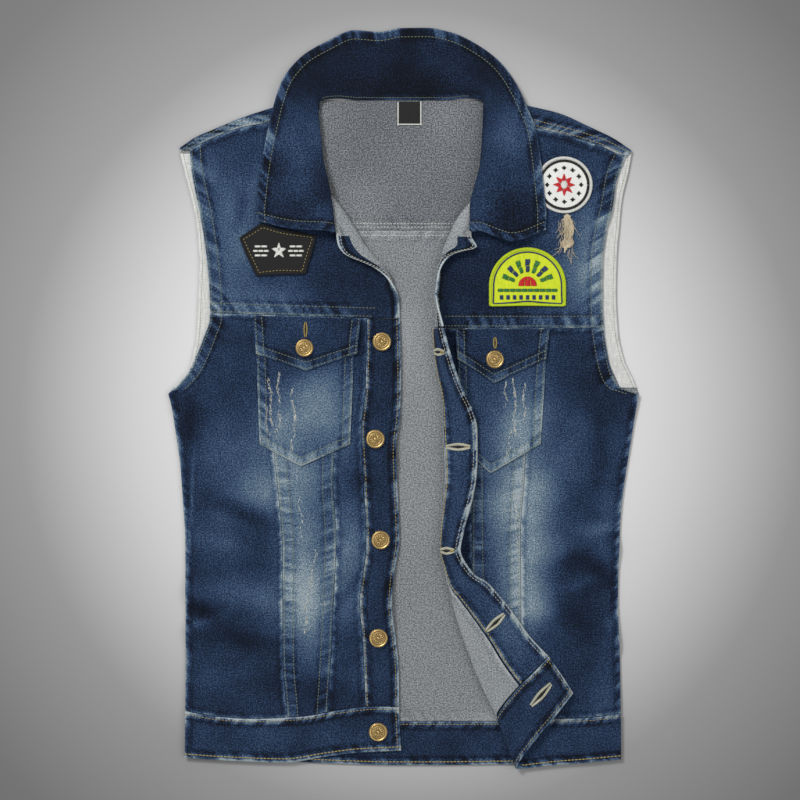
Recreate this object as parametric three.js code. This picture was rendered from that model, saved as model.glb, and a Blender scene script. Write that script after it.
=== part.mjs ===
// A sleeveless denim vest laid flat on its back, both fronts open, in millimetres.
// +X is to the right and +Y towards the collar, seen from above, and +Z is up from the surface it lies on.
// Right and left are the wearer's, so the right front lies on the side of negative X.
// The origin is on the underside of the back, level with the armholes' lowest points.

import * as THREE from "three";

// Cloth and trim thicknesses
const DENIM = 1.2;
const FOLDED_DENIM = 2.4;
const COLLAR_CLOTH = 2.6;
const POCKET_CLOTH = 1.5;
const TAPE = 0.8;
const PATCH = 1.2;
const LABEL = 0.6;
const SEAM_GAP = 0.35;
const LAYER_GAP = 0.35;

// Heights of the layers over the surface that the vest lies on
const FRONT_REST = 2.8;
const FRONT_REST_AT_SIDE = 1.6;
const SETTLE = { top: -4, topBlend: 24, bottom: -318, bottomBlend: 44, width: 26 };
const PUFF = { height: 1.4, reach: 60, top: 280, bottom: -318 };
const FOLDS_END = { level: -322, blend: 30 };

// Where the two fronts part, and where the left one lifts off the back
const FRONT_SPLIT = 16;
const LEFT_LIFT = 46;

// White tape inside the armholes
const TAPE_WIDTH = 17;
const TAPE_TOP = 245;
const TAPE_FOOT = 10;

// Shoulder wraps: the radius that they turn round, and how far across they move while they turn
const SHOULDER_FOLD_RADIUS = 1.4;
const SHOULDER_DRIFT = 0.2;

// Lapels: how far out an edge is fully turned over, and the crest between its roll line and its edge
const LAPEL_TURN = 14;
const LAPEL_CREST = { share: 0.32, turned: 0.58, rise: 0.5 };
const LAPEL_START = 0.25;

// The turned left front, by shares of the way along each row from its free edge to the flat cloth
const ROW_SHARES = { edge: 0, seam: 0.4, lift: 0.8 };
const ROW_LEAD = 12;
const SEAM_SHARE = 0.004;
const STRIP_SHARE = 0.016;
const STRIP_CROWN = 0.4;
const STRIP_BULGE = 3;
const BAND_MIDDLE = -340;

// Levels of the cross seams, from the underarm
const UNDERARM = 4;
const NECK_SEAM = 298;
const BACK_YOKE_SEAM = 168;
const BACK_BAND_SEAM = -324;
const NECK_HALF_WIDTH = 84;

// Buttons
const BUTTON_RADIUS = 9.2;
const POCKET_BUTTON_RADIUS = 8.8;
const BUTTON_HEIGHT = 4.2;
const BUTTON_FOOT = 0.6;
const BUTTON_SIDES = 16;
const POCKET_BUTTON_CLEARANCE = 0.65;

// Flaps: how far they start below the chest seam, and how loosely they lie on the pockets
const FLAP_DROP = 1;
const FLAP_EASE = 0.3;

// Counts of cells, and how a point between four curved edges is found
const YOKE = { rows: 4, foldSteps: 3, shoulderColumns: 7, neckColumns: 6 };
const FRONT_YOKE = { rows: 16, columns: 7, lapelColumns: 6 };
const TURNED = { rows: 26, stripColumns: 4, turnColumns: 6, bodyColumns: 2 };
const BAND = { rows: 6, turnColumns: 12, bodyColumns: 8 };
const COLLAR_CELLS = { across: 38, up: 8 };
const PATCH_CELLS = 6;
const SEAT_CHECKS = 8;
const PASSES = 24;
const NEAREST_STOP = 0.35;
const ROUNDING = 1e-9;

// A table is a list of column names and its rows, turned into one object a row.
function table(columns, rows) {
  const names = columns.split(" ");
  return rows.map((row) => Object.fromEntries(names.map((name, i) => [name, row[i]])));
}

// Outer edges, given by height y, from the shoulder down

const ARMHOLE_BACK_RIGHT = table("y x", [
  [250, -224.6],
  [225, -218.6],
  [198, -211.7],
  [170, -206.5],
  [132, -204],
  [93, -205.6],
  [63, -207],
  [43, -210.7],
  [28, -215],
  [15, -226],
  [UNDERARM, -235.3],
]);

const ARMHOLE_FRONT_RIGHT = table("y x", [
  [249, -213.4],
  [232, -212.4],
  [212, -209],
  [187, -204],
  [162, -199.6],
  [136, -196.2],
  [96, -193.4],
  [80, -193.4],
  [62, -199],
  [43, -206.5],
  [25, -215.5],
  [13, -226],
  [UNDERARM, -235.3],
]);

const ARMHOLE_BACK_LEFT = table("y x", [
  [247, 229.6],
  [227, 226],
  [198, 219.4],
  [171, 216.8],
  [144, 214.5],
  [106, 213.5],
  [68, 215.4],
  [40, 221],
  [20, 230],
  [UNDERARM, 236.6],
]);

const ARMHOLE_FRONT_LEFT = table("y x", [
  [240, 223],
  [215, 213.4],
  [192, 210],
  [167, 204],
  [135, 200],
  [106, 199.6],
  [71, 201],
  [39, 205.7],
  [20, 211],
  [10, 218.5],
  [UNDERARM, 236.6],
]);

const SIDE_RIGHT = table("y x", [
  [UNDERARM, -235.3],
  [-8, -232],
  [-40, -227],
  [-69, -223],
  [-106, -220.4],
  [-141, -218.2],
  [-250, -217.8],
  [-362, -218.6],
]);

const SIDE_LEFT = table("y x", [
  [UNDERARM, 236.6],
  [-15, 233],
  [-47, 228],
  [-78, 223],
  [-109, 219],
  [-141, 217],
  [-205, 215.5],
  [-271, 217.6],
  [-362, 218.6],
]);

// Shoulder lines, where the back yoke folds over to the front, and the front seams that end it

const SHOULDER_RIGHT = table("x y", [
  [-224.6, 250],
  [-208, 261],
  [-184, 271],
  [-157, 282],
  [-132, 290],
  [-NECK_HALF_WIDTH, 303],
]);

const SHOULDER_LEFT = table("x y", [
  [NECK_HALF_WIDTH, 303],
  [126.5, 292],
  [156, 285],
  [187.5, 271],
  [213, 258.5],
  [229.6, 247],
]);

const SHOULDER_SEAM_RIGHT = table("x y", [
  [-213.4, 249],
  [-184, 263],
  [-157, 272],
  [-134, 275.5],
  [-NECK_HALF_WIDTH, 287],
]);

const SHOULDER_SEAM_LEFT = table("x y", [
  [NECK_HALF_WIDTH, 284],
  [135, 270],
  [166.5, 262],
  [198, 252],
  [223, 240],
]);

// Cross seams and hems, given by x

const CHEST_SEAM_RIGHT = table("x y", [
  [-236, 86],
  [-193, 85],
  [-98, 82],
  [0, 79],
]);

const CHEST_SEAM_LEFT = table("x y", [
  [30, 70],
  [236, 70],
]);

const BAND_SEAM_RIGHT = table("x y", [
  [-219, -313],
  [-185, -319],
  [-152, -321],
  [-102, -319],
  [-61, -312],
  [-28, -308.6],
  [0, -309.4],
]);

const BAND_SEAM_LEFT = table("x y", [
  [40, -321],
  [101, -322],
  [153, -321],
  [183, -320],
  [220, -315.5],
]);

const HEM_RIGHT = table("x y", [
  [-220, -360],
  [-177, -363],
  [-119, -365],
  [-77, -359],
  [-44, -355],
  [0, -353],
]);

const HEM_LEFT = table("x y", [
  [110, -371.8],
  [150, -367.4],
  [183, -365],
  [220, -361.6],
]);

const HEM_BACK = table("x y", [
  [-220, -357],
  [-100, -365],
  [0, -368],
  [110, -367],
  [220, -358],
]);

// Upright seams of the fronts, given by y

const OUTER_V_RIGHT = table("y x", [
  [86, -141],
  [-58, -128.6],
  [-98, -124.4],
  [-155, -120.3],
  [-255, -120.3],
  [-322, -115.6],
]);

const INNER_V_RIGHT = table("y x", [
  [86, -60],
  [-56, -69],
  [-81, -70],
  [-140, -67],
  [-213, -70],
  [-246, -71.4],
  [-322, -76],
]);

const OUTER_V_LEFT = table("y x", [
  [70, 141],
  [-58, 122.6],
  [-86, 121],
  [-132, 117.6],
  [-216, 118],
  [-322, 124],
]);

const INNER_V_LEFT = table("y x", [
  [70, 62],
  [-60, 68],
  [-200, 70],
  [-256, 79],
  [-284, 90],
  [-322, 106],
]);

const STRIP_SEAM_RIGHT = table("y x", [
  [86, -36],
  [10, -37.4],
  [-31, -41.5],
  [-89, -39],
  [-148, -36.8],
  [-205, -43.2],
  [-246, -40],
  [-312, -37.4],
]);

const FRONT_EDGE_RIGHT = table("y x", [
  [95, -3.2],
  [18, -1.7],
  [-15, -2.5],
  [-48, -6.7],
  [-98, -5],
  [-140, -3.4],
  [-180, -9.2],
  [-205, -11],
  [-238, -7.5],
  [-271, -4.2],
  [-312, -3.6],
  [-353, -1.7],
]);

// The right front's upper edge turns outwards as a lapel: where it lifts off, its roll and its edge.
// Heights z are over the front's own underside.
const LAPEL_RIGHT = table("y liftX rollX rollZ edgeX edgeY edgeZ", [
  [80, -34, -17, 0, -3.2, 79.4, 0],
  [100, -34, -15, 1, -4, 100, 2],
  [110, -30, -13, 3, -8, 110, 6],
  [121, -26, -12.5, 4.5, -17, 121, 9.5],
  [131, -28, -19, 5, -31, 131, 9.6],
  [144, -39, -31, 5, -59, 144, 9],
  [153, -46.5, -38.5, 5, -65, 153, 9],
  [166, -54, -46, 4.6, -67.5, 167, 8],
  [180, -63, -55, 4.2, -76, 180, 7.4],
  [198, -77, -68, 3.4, -83, 198, 6],
  [212, -93, -81, 2, -84, 212, 4.5],
  [230, -104, -94, 0.3, -85.5, 230, 0.8],
  [282, -106, -96, 0, -86, 286, 0],
]);

const LAPEL_LEFT = table("y liftX rollX rollZ edgeX edgeY edgeZ", [
  [71, 44, 32.5, 6, 40, 71, 26],
  [83, 45, 33, 8, 36.5, 83, 26],
  [92, 49, 37, 9, 34, 92, 23],
  [103, 54, 41, 8, 32, 103, 19],
  [114, 55, 42, 6, 33, 114, 15],
  [128, 49, 34.5, 6, 36.5, 127, 12],
  [139, 46, 37.5, 5, 43, 138, 10],
  [146, 48, 39.5, 5, 54, 145, 9.4],
  [153, 50, 42, 5, 74, 150.5, 9],
  [164, 55, 47, 5, 68, 163, 9],
  [174, 60, 51.5, 5, 72, 174, 8.8],
  [186, 68, 59.5, 4.5, 76, 186, 8],
  [200, 82, 72, 3, 82, 200, 5],
  [216, 99, 89, 0.4, 80, 216, 1],
  [279, 103, 93, 0, 83, 283, 0],
]);

// The left front's buttonhole strip stands and turns over, and below the ribs the front rolls over with it.
// A row runs from where the cloth lifts off the back, over its roll, to the strip's seam and its free edge.
const TURNED_FRONT = table("liftX liftY rollX rollY rollZ seamX seamY seamZ edgeX edgeY edgeZ", [
  [44, 69.2, 33.5, 69.2, 5.5, 32, 69.2, 9, 40, 69.2, 29.4],
  [43, 48, 35, 48, 5.5, 33, 48, 9, 46, 47, 29.5],
  [45, 25, 37.6, 25, 5.5, 36, 25, 8.6, 53, 25, 27],
  [47, 4, 40.6, 4, 5.8, 39.5, 4, 9, 61.6, 4.5, 21.5],
  [48, -10, 41.4, -10, 6, 40.3, -10, 9.4, 68.7, -10, 16],
  [49, -32, 41.8, -32, 6.2, 40.8, -32, 9.8, 74.2, -32, 11.4],
  [50, -55, 43, -55, 6.2, 42, -55, 9.8, 74.4, -55, 10.6],
  [50, -78, 44, -78, 6.2, 43, -78, 9.8, 73.4, -78, 11.6],
  [49, -101, 42.6, -101, 6, 41.5, -101, 9.4, 69.6, -100, 15],
  [47, -132, 40.5, -132, 5.6, 39, -132, 8.6, 60.6, -132, 22],
  [46, -152, 40, -152, 5.6, 38.6, -152, 8.6, 57, -151, 25],
  [49, -171, 43.5, -171, 5.8, 42, -170, 9.4, 65, -168, 20],
  [53, -190, 46.5, -190, 6.4, 47, -188, 10.6, 73, -177, 15.5],
  [57, -208, 50, -207, 7.4, 57, -202, 12.2, 83, -183, 12.5],
  [65, -232, 57, -231, 8, 71.7, -221.5, 13, 98, -199.5, 10.4],
  [74, -256, 66, -256, 8, 86.7, -243, 13, 112.5, -218, 9.6],
  [85, -284, 76.5, -283, 8.2, 100, -264.6, 13, 127, -238.5, 9.4],
  [102, -321, 93.6, -317, 8.6, 116, -286.4, 13.2, 145, -257.6, 9.6],
]);

const TURNED_BAND = table("liftX liftY rollX rollY rollZ seamX seamY seamZ edgeX edgeY edgeZ", [
  [102.4, -322, 94.4, -318.6, 9, 116.7, -287, 14, 145.4, -258.1, 10.4],
  [112, -346, 103.6, -344, 9, 126, -311, 14.2, 158, -276, 10.6],
  [121.5, -371, 113.6, -369.6, 9, 136, -336, 13.6, 170, -294.6, 10.4],
]);

// Soft folds of the fronts: a ridge is high, a trough low, between two ends
const FOLDS = table("x1 y1 x2 y2 width height", [
  [-140, 262, -186, 178, 19, -1.3],
  [-150, 212, -172, 150, 15, 2.8],
  [-196, 240, -198, 190, 13, 2],
  [-214, -196, -140, -206, 13, 4.2],
  [-224, -214, -182, -216, 9, -2.4],
  [-214, -236, -178, -226, 10, 3.2],
  [-176, -254, -130, -250, 24, -1.2],
  [-74, -214, -42, -172, 8, -2.2],
  [-64, -170, -46, -146, 10, 2.2],
  [-60, -236, -48, -204, 12, 2],
  [-24, -30, -12, -62, 15, 3.4],
  [-30, -176, -14, -216, 16, 3.8],
  [-208, -14, -200, -80, 15, 2.6],
  [-190, -100, -150, -136, 20, 2.2],
  [150, 262, 200, 236, 14, -1.3],
  [194, 238, 206, 190, 13, 1.6],
  [150, 200, 168, 130, 20, 2],
  [206, -30, 202, -120, 12, -1.4],
  [176, -40, 158, -110, 16, 2.8],
  [214, -150, 190, -182, 9, 3],
  [150, -176, 186, -262, 22, -1.3],
  [196, -206, 216, -246, 9, 3.4],
  [140, -150, 160, -190, 14, 2.2],
  [130, -280, 196, -296, 14, 2],
]);

// The collar from the right front's end round to the left front's: seam, roll line and outer edge.
// rise is its height at the seam, and fold is 1 where it is turned down and 0 where it lies open.
const COLLAR = table("seamX seamY rollX rollY edgeX edgeY bow rise fold", [
  [-72, 164, -69, 165, -145.6, 177, -3, 15.2, 1],
  [-77, 179, -70.5, 183, -146.6, 187, 0, 15.2, 1],
  [-83, 197, -73.5, 204, -145, 204, 0, 14.6, 1],
  [-84.5, 213, -77, 222, -143, 222, 0, 11.6, 1],
  [-85.5, 229, -80.3, 238, -140.5, 240, 0, 8.2, 1],
  [-86, 247, -82.4, 256, -137, 259, 0, 7.3, 1],
  [-86.5, 264, -84.4, 272, -132.5, 280, 0, 7, 0.95],
  [-87, 281, -86, 288, -127, 301, 0, 6.6, 0.75],
  [-86.5, 292.6, -85, 301, -119.6, 320, 0, 6.4, 0.45],
  [-79, 298.4, -78.5, 305, -101.5, 342, 0, 4.6, 0.2],
  [-64, 300, -64, 307, -76, 357.4, 0, 2.4, 0.05],
  [-44, 298.4, -44, 308, -49, 368.4, 0, 1.7, 0],
  [-22, 298.4, -22, 308, -24, 366.8, 0, 1.5, 0],
  [0, 298.4, 0, 308, 0, 370.6, 0, 1.5, 0],
  [22, 298.4, 22, 308, 24, 370.8, 0, 1.5, 0],
  [44, 298.4, 44, 308, 49, 366, 0, 1.7, 0],
  [62, 300, 62, 307, 76, 353, 0, 2.4, 0.05],
  [76, 298.4, 76, 305, 98, 335.5, 0, 4.6, 0.2],
  [82.5, 292.6, 81.5, 300, 112, 316, 0, 6.4, 0.45],
  [82.5, 280, 81.4, 286, 123, 293, 0, 6.6, 0.75],
  [82, 262, 80.6, 268, 133, 268, 0, 7, 0.95],
  [81.5, 243, 79.6, 250, 137, 244, 0, 7.4, 1],
  [81.5, 224, 77.4, 230, 139.5, 222, 0, 8.8, 1],
  [82.5, 204, 71, 208, 141.3, 202, 0, 12, 1],
  [80, 187, 67.6, 190, 143, 184, -3, 13.8, 1],
  [72, 165.4, 67.6, 166, 142.4, 168, -11, 14.4, 1],
]);
const COLLAR_FLAT_HEIGHT = 1.5;
const COLLAR_ROLL_RISE = 1.4;
const COLLAR_CREST_RISE = 3.4;
const COLLAR_EDGE_CLEARANCE = 3.3;
const COLLAR_LANDING = 1.4;
const COLLAR_CREST_SHARE = { open: 0.3, folded: 0.12 };
const COLLAR_BODY = { share: 0.55, fall: 0.45, bulge: 0.8 };

// Buttons by their centres, and patches by their outlines

const BUTTONS = table("x y", [
  [-21.1, 56.3],
  [-27.7, -41],
  [-22.4, -142],
  [-24.6, -240],
  [-24.9, -334],
]);

const POCKET_BUTTONS = { right: { x: -98.4, y: 50 }, left: { x: 91.7, y: 38.5 } };

// A button's section as shares of its radius and height
const BUTTON_PROFILE = table("out up", [
  [0, 0],
  [0.55, 0],
  [BUTTON_FOOT, 0.3],
  [1, 0.42],
  [0.95, 0.85],
  [0.74, 0.82],
  [0, 1],
]);

const POCKETS = table("side outerX innerX lowerOuterX lowerInnerX pointX top corner point", [
  ["right", -147.6, -48, -143.6, -52.6, -102, 62, -46.5, -68.6],
  ["left", 144, 54, 138, 56, 87.4, 50, -46, -75.7],
]);

const FLAPS = table("side outerX innerX lowerOuterX lowerInnerX pointX corner point", [
  ["right", -150, -41.6, -147, -46, -97, 44, 27],
  ["left", 147, 52, 143, 54, 91, 39, 14.6],
]);

const PENTAGON_PATCH = table("x y", [
  [-86, 162],
  [-143, 174],
  [-163.5, 160],
  [-157, 143],
  [-147, 122],
  [-97, 124],
]);

const PENTAGON_MIDDLE = { x: -124, y: 147 };
const ROUND_PATCH = { x: 161, y: 213, radius: 28.5 };
const DOME_PATCH = { left: 86, right: 163, bottom: 92, springing: 112 };
const NECK_LABEL = { left: -6, right: 19, bottom: 273, top: 297 };
const FRAYED_SPOT = { left: 154, right: 171, bottom: 145, top: 184 };

// Colours and finishes

function finish(color, roughness = 0.9, metalness = 0) {
  return new THREE.MeshStandardMaterial({ color, roughness, metalness });
}

const DENIM_BLUE = finish(0x3c5078);
const DENIM_INSIDE = finish(0x7e8286);
const WHITE_TAPE = finish(0xe6e6e2);
const AGED_BRASS = finish(0xc0a468, 0.4, 1);
const PATCH_BLACK = finish(0x14161c);
const PATCH_WHITE = finish(0xe4e4e0);
const PATCH_LIME = finish(0xd2e21c);
const LABEL_BLACK = finish(0x101014);
const FRAYED_COTTON = finish(0xc8bca4);

// Interpolation

const mix = (a, b, t) => a + (b - a) * t;
const clamp = (t) => Math.min(1, Math.max(0, t));
const smooth = (t) => clamp(t) ** 2 * (3 - 2 * clamp(t));

// A smooth curve without overshoot through the rows of a table, as a function of one of its columns.
function curve(rows, key, value) {
  const sorted = [...rows].sort((a, b) => a[key] - b[key]);
  const xs = sorted.map((row) => row[key]);
  const ys = sorted.map((row) => row[value]);
  const rises = xs.slice(1).map((x, i) => (ys[i + 1] - ys[i]) / (x - xs[i]));
  const slopes = xs.map((_, i) => {
    if (i === 0) return rises[0];
    if (i === xs.length - 1) return rises[i - 1];
    const [before, after] = [rises[i - 1], rises[i]];
    return before * after <= 0 ? 0 : (2 * before * after) / (before + after);
  });
  return (x) => {
    if (x <= xs[0]) return ys[0];
    if (x >= xs[xs.length - 1]) return ys[xs.length - 1];
    const i = xs.findIndex((knot) => knot > x) - 1;
    const span = xs[i + 1] - xs[i];
    const t = (x - xs[i]) / span;
    const fromStart = (1 + 2 * t) * (1 - t) ** 2 * ys[i] + t * (1 - t) ** 2 * span * slopes[i];
    return fromStart + t * t * (3 - 2 * t) * ys[i + 1] + t * t * (t - 1) * span * slopes[i + 1];
  };
}

// All the columns of a table as one function of a column, or of the row number where no column is given.
function rowsOf(rows, key) {
  const numbered = rows.map((row, i) => ({ ...row, number: i }));
  const names = Object.keys(rows[0]);
  const curves = names.map((name) => curve(numbered, key ?? "number", name));
  return (at) => Object.fromEntries(names.map((name, i) => [name, curves[i](at)]));
}

const polyline = (rows, key, value) => (at) => {
  const sorted = [...rows].sort((a, b) => a[key] - b[key]);
  const last = sorted.length - 2;
  const i = Math.min(last, Math.max(0, sorted.findIndex((row) => row[key] > at) - 1));
  const [from, to] = [sorted[i], sorted[i + 1]];
  return mix(from[value], to[value], clamp((at - from[key]) / (to[key] - from[key])));
};

// Outlines as functions

const sideRight = curve(SIDE_RIGHT, "y", "x");
const sideLeft = curve(SIDE_LEFT, "y", "x");
const armholeBackRight = curve(ARMHOLE_BACK_RIGHT, "y", "x");
const armholeBackLeft = curve(ARMHOLE_BACK_LEFT, "y", "x");
const armholeFrontRight = curve(ARMHOLE_FRONT_RIGHT, "y", "x");
const armholeFrontLeft = curve(ARMHOLE_FRONT_LEFT, "y", "x");
const belowArm = (side, armhole) => (y) => (y > UNDERARM ? armhole(y) : side(y));
const backOuterRight = belowArm(sideRight, armholeBackRight);
const backOuterLeft = belowArm(sideLeft, armholeBackLeft);
const frontOuterRight = belowArm(sideRight, armholeFrontRight);
const frontOuterLeft = belowArm(sideLeft, armholeFrontLeft);
const chestRight = curve(CHEST_SEAM_RIGHT, "x", "y");
const chestLeft = curve(CHEST_SEAM_LEFT, "x", "y");
const bandSeamRight = curve(BAND_SEAM_RIGHT, "x", "y");
const bandSeamLeft = curve(BAND_SEAM_LEFT, "x", "y");
const outerVRight = curve(OUTER_V_RIGHT, "y", "x");
const innerVRight = curve(INNER_V_RIGHT, "y", "x");
const outerVLeft = curve(OUTER_V_LEFT, "y", "x");
const innerVLeft = curve(INNER_V_LEFT, "y", "x");
const stripSeamRight = curve(STRIP_SEAM_RIGHT, "y", "x");
const frontEdgeRight = curve(FRONT_EDGE_RIGHT, "y", "x");

// How the fronts lie on the back: they rise a little from their edges, with soft folds.

function foldHeight(x, y) {
  return FOLDS.reduce((sum, { x1, y1, x2, y2, width, height }) => {
    const [dx, dy] = [x2 - x1, y2 - y1];
    const along = clamp(((x - x1) * dx + (y - y1) * dy) / (dx * dx + dy * dy));
    const away = Math.hypot(x - x1 - along * dx, y - y1 - along * dy) / width;
    return sum + height * Math.exp(-away * away);
  }, 0);
}

function frontUnderside(x, y) {
  const fromSide = Math.min(x - sideRight(y), sideLeft(y) - x);
  const fromEdge = x < FRONT_SPLIT ? -x : x - LEFT_LIFT;
  const belowArms = smooth((SETTLE.top - y) / SETTLE.topBlend);
  const settled = belowArms * smooth((y - SETTLE.bottom) / SETTLE.bottomBlend);
  const atRest = mix(FRONT_REST, FRONT_REST_AT_SIDE, settled * (1 - smooth(fromSide / SETTLE.width)));
  const fromSeams = smooth((y - PUFF.bottom) / PUFF.reach) * smooth((PUFF.top - y) / PUFF.reach);
  const puff = PUFF.height * fromSeams * smooth(Math.min(fromSide, fromEdge) / PUFF.reach);
  const lifted = atRest + puff + foldHeight(x, y) * smooth((y - FOLDS_END.level) / FOLDS_END.blend);
  return Math.max(lifted, mix(FRONT_REST, FRONT_REST_AT_SIDE, settled));
}

const frontTop = (x, y) => frontUnderside(x, y) + DENIM;
const onFront = (x, y) => frontTop(x, y) + 2 * LAYER_GAP;

// Walls of cloth

// A closed wall about a grid of points, grid[v][u], where u and v turn anticlockwise seen from outside.
// keep says which cells of the grid hold cloth, and upright puts its thickness along z alone.
function wall(grid, thickness, { keep = () => true, upright = false } = {}) {
  const [across, up] = [grid[0].length, grid.length];
  const at = (u, v) => grid[Math.min(up - 1, Math.max(0, v))][Math.min(across - 1, Math.max(0, u))];
  const normalAt = (u, v) => {
    if (upright) return new THREE.Vector3(0, 0, 1);
    const alongU = at(u + 1, v).clone().sub(at(u - 1, v));
    const alongV = at(u, v + 1).clone().sub(at(u, v - 1));
    return alongU.cross(alongV).normalize();
  };
  const positions = [];
  for (const side of [0.5, -0.5]) {
    grid.forEach((row, v) =>
      row.forEach((point, u) => {
        positions.push(...point.clone().addScaledVector(normalAt(u, v), side * thickness));
      }),
    );
  }
  const outside = (u, v) => v * across + u;
  const inside = (u, v) => across * up + v * across + u;
  const cloth = (u, v) => u >= 0 && v >= 0 && u < across - 1 && v < up - 1 && keep(u, v);
  const faces = [];
  const quad = (a, b, c, d) => faces.push(a, b, c, a, c, d);
  for (let v = 0; v < up - 1; v += 1) {
    for (let u = 0; u < across - 1; u += 1) {
      if (!cloth(u, v)) continue;
      quad(outside(u, v), outside(u + 1, v), outside(u + 1, v + 1), outside(u, v + 1));
      quad(inside(u, v), inside(u, v + 1), inside(u + 1, v + 1), inside(u + 1, v));
      const edges = [
        [cloth(u, v - 1), u, v, u + 1, v],
        [cloth(u + 1, v), u + 1, v, u + 1, v + 1],
        [cloth(u, v + 1), u + 1, v + 1, u, v + 1],
        [cloth(u - 1, v), u, v + 1, u, v],
      ];
      for (const [joined, u1, v1, u2, v2] of edges) {
        if (!joined) quad(outside(u1, v1), inside(u1, v1), inside(u2, v2), outside(u2, v2));
      }
    }
  }
  const geometry = new THREE.BufferGeometry();
  geometry.setAttribute("position", new THREE.Float32BufferAttribute(positions, 3));
  geometry.setIndex(faces);
  return geometry;
}

// Even steps from 0 to 1, with the given extra stops.
function steps(count, extra = []) {
  const even = Array.from({ length: count + 1 }, (_, i) => i / count);
  const near = (t) => extra.some((stop) => Math.abs(stop - t) < NEAREST_STOP / count && t > 0 && t < 1);
  return [...even.filter((t) => !near(t)), ...extra].sort((a, b) => a - b);
}

// The point of a panel at shares u and v of the way between its edges.
function between({ left, right, bottom, top }, u, v) {
  const inset = SEAM_GAP / 2;
  let [x, y] = [mix(left(0), right(0), u), 0];
  for (let pass = 0; pass < PASSES; pass += 1) {
    y = mix(bottom(x) + inset, top(x) - inset, v);
    x = mix(left(y) + inset, right(y) - inset, u);
  }
  return { x, y };
}

// A panel of cloth that lies on a surface of height under(x, y).
function panel(edges, { columns, rows, under, thickness = DENIM, cornerAt }) {
  const extra = [];
  if (cornerAt !== undefined) {
    const [low, high] = [between(edges, 0, 0).y, between(edges, 0, 1).y];
    extra.push((cornerAt - low) / (high - low));
  }
  const grid = steps(rows, extra).map((v) =>
    steps(columns).map((u) => {
      const { x, y } = between(edges, u, v);
      return new THREE.Vector3(x, y, under(x, y) + thickness / 2);
    }),
  );
  return wall(grid, thickness, { upright: true });
}

// A piece of any round or angled outline, from its middle to reach(angle) away, lying on a surface.
function patch(middle, reach) {
  const grid = steps(PATCH_CELLS).map((v) =>
    steps(PATCH_CELLS).map((u) => {
      const [a, b] = [2 * u - 1, 2 * v - 1];
      const angle = Math.atan2(b, a);
      const out = Math.max(Math.abs(a), Math.abs(b)) * reach(angle);
      const [x, y] = [middle.x + out * Math.cos(angle), middle.y + out * Math.sin(angle)];
      return new THREE.Vector3(x, y, onFront(x, y) + PATCH / 2);
    }),
  );
  return wall(grid, PATCH, { upright: true });
}

// How far a straight-sided outline lies from a middle, by angle.
function reachOf(corners, middle) {
  return (angle) => {
    const [dx, dy] = [Math.cos(angle), Math.sin(angle)];
    const distances = corners.map((from, i) => {
      const to = corners[(i + 1) % corners.length];
      const [ex, ey] = [to.x - from.x, to.y - from.y];
      const [fx, fy] = [from.x - middle.x, from.y - middle.y];
      const across = dx * ey - dy * ex;
      const along = (fx * ey - fy * ex) / across;
      const share = (fx * dy - fy * dx) / across;
      return along > 0 && share >= -ROUNDING && share <= 1 + ROUNDING ? along : Infinity;
    });
    return Math.min(...distances);
  };
}

// The back

const onFloor = () => 0;
const shoulderRight = curve(SHOULDER_RIGHT, "x", "y");
const shoulderLeft = curve(SHOULDER_LEFT, "x", "y");
const shoulderSeamRight = curve(SHOULDER_SEAM_RIGHT, "x", "y");
const shoulderSeamLeft = curve(SHOULDER_SEAM_LEFT, "x", "y");

// One line of the yoke from its lower seam: flat to the neck, or over the shoulder fold to the front seam.
function yokeLine({ lowerX, foldX, foldY, seam, outer }) {
  const flatTop = seam ? foldY - SHOULDER_FOLD_RADIUS : foldY;
  const points = steps(YOKE.rows).map((v) => {
    const y = mix(BACK_YOKE_SEAM + SEAM_GAP / 2, flatTop, v);
    return new THREE.Vector3(outer ? outer(y) : mix(lowerX, foldX, v), y, DENIM / 2);
  });
  const middle = DENIM / 2 + SHOULDER_FOLD_RADIUS;
  const end = seam ? seam : { x: foldX, y: foldY };
  for (const share of steps(YOKE.foldSteps).slice(1)) {
    const angle = Math.PI * share;
    const y = flatTop + SHOULDER_FOLD_RADIUS * Math.sin(angle);
    const x = mix(foldX, end.x, SHOULDER_DRIFT * share);
    points.push(new THREE.Vector3(x, y, middle - SHOULDER_FOLD_RADIUS * Math.cos(angle)));
  }
  points.push(new THREE.Vector3(end.x, end.y, frontUnderside(end.x, end.y) + DENIM / 2));
  return points;
}

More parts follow.
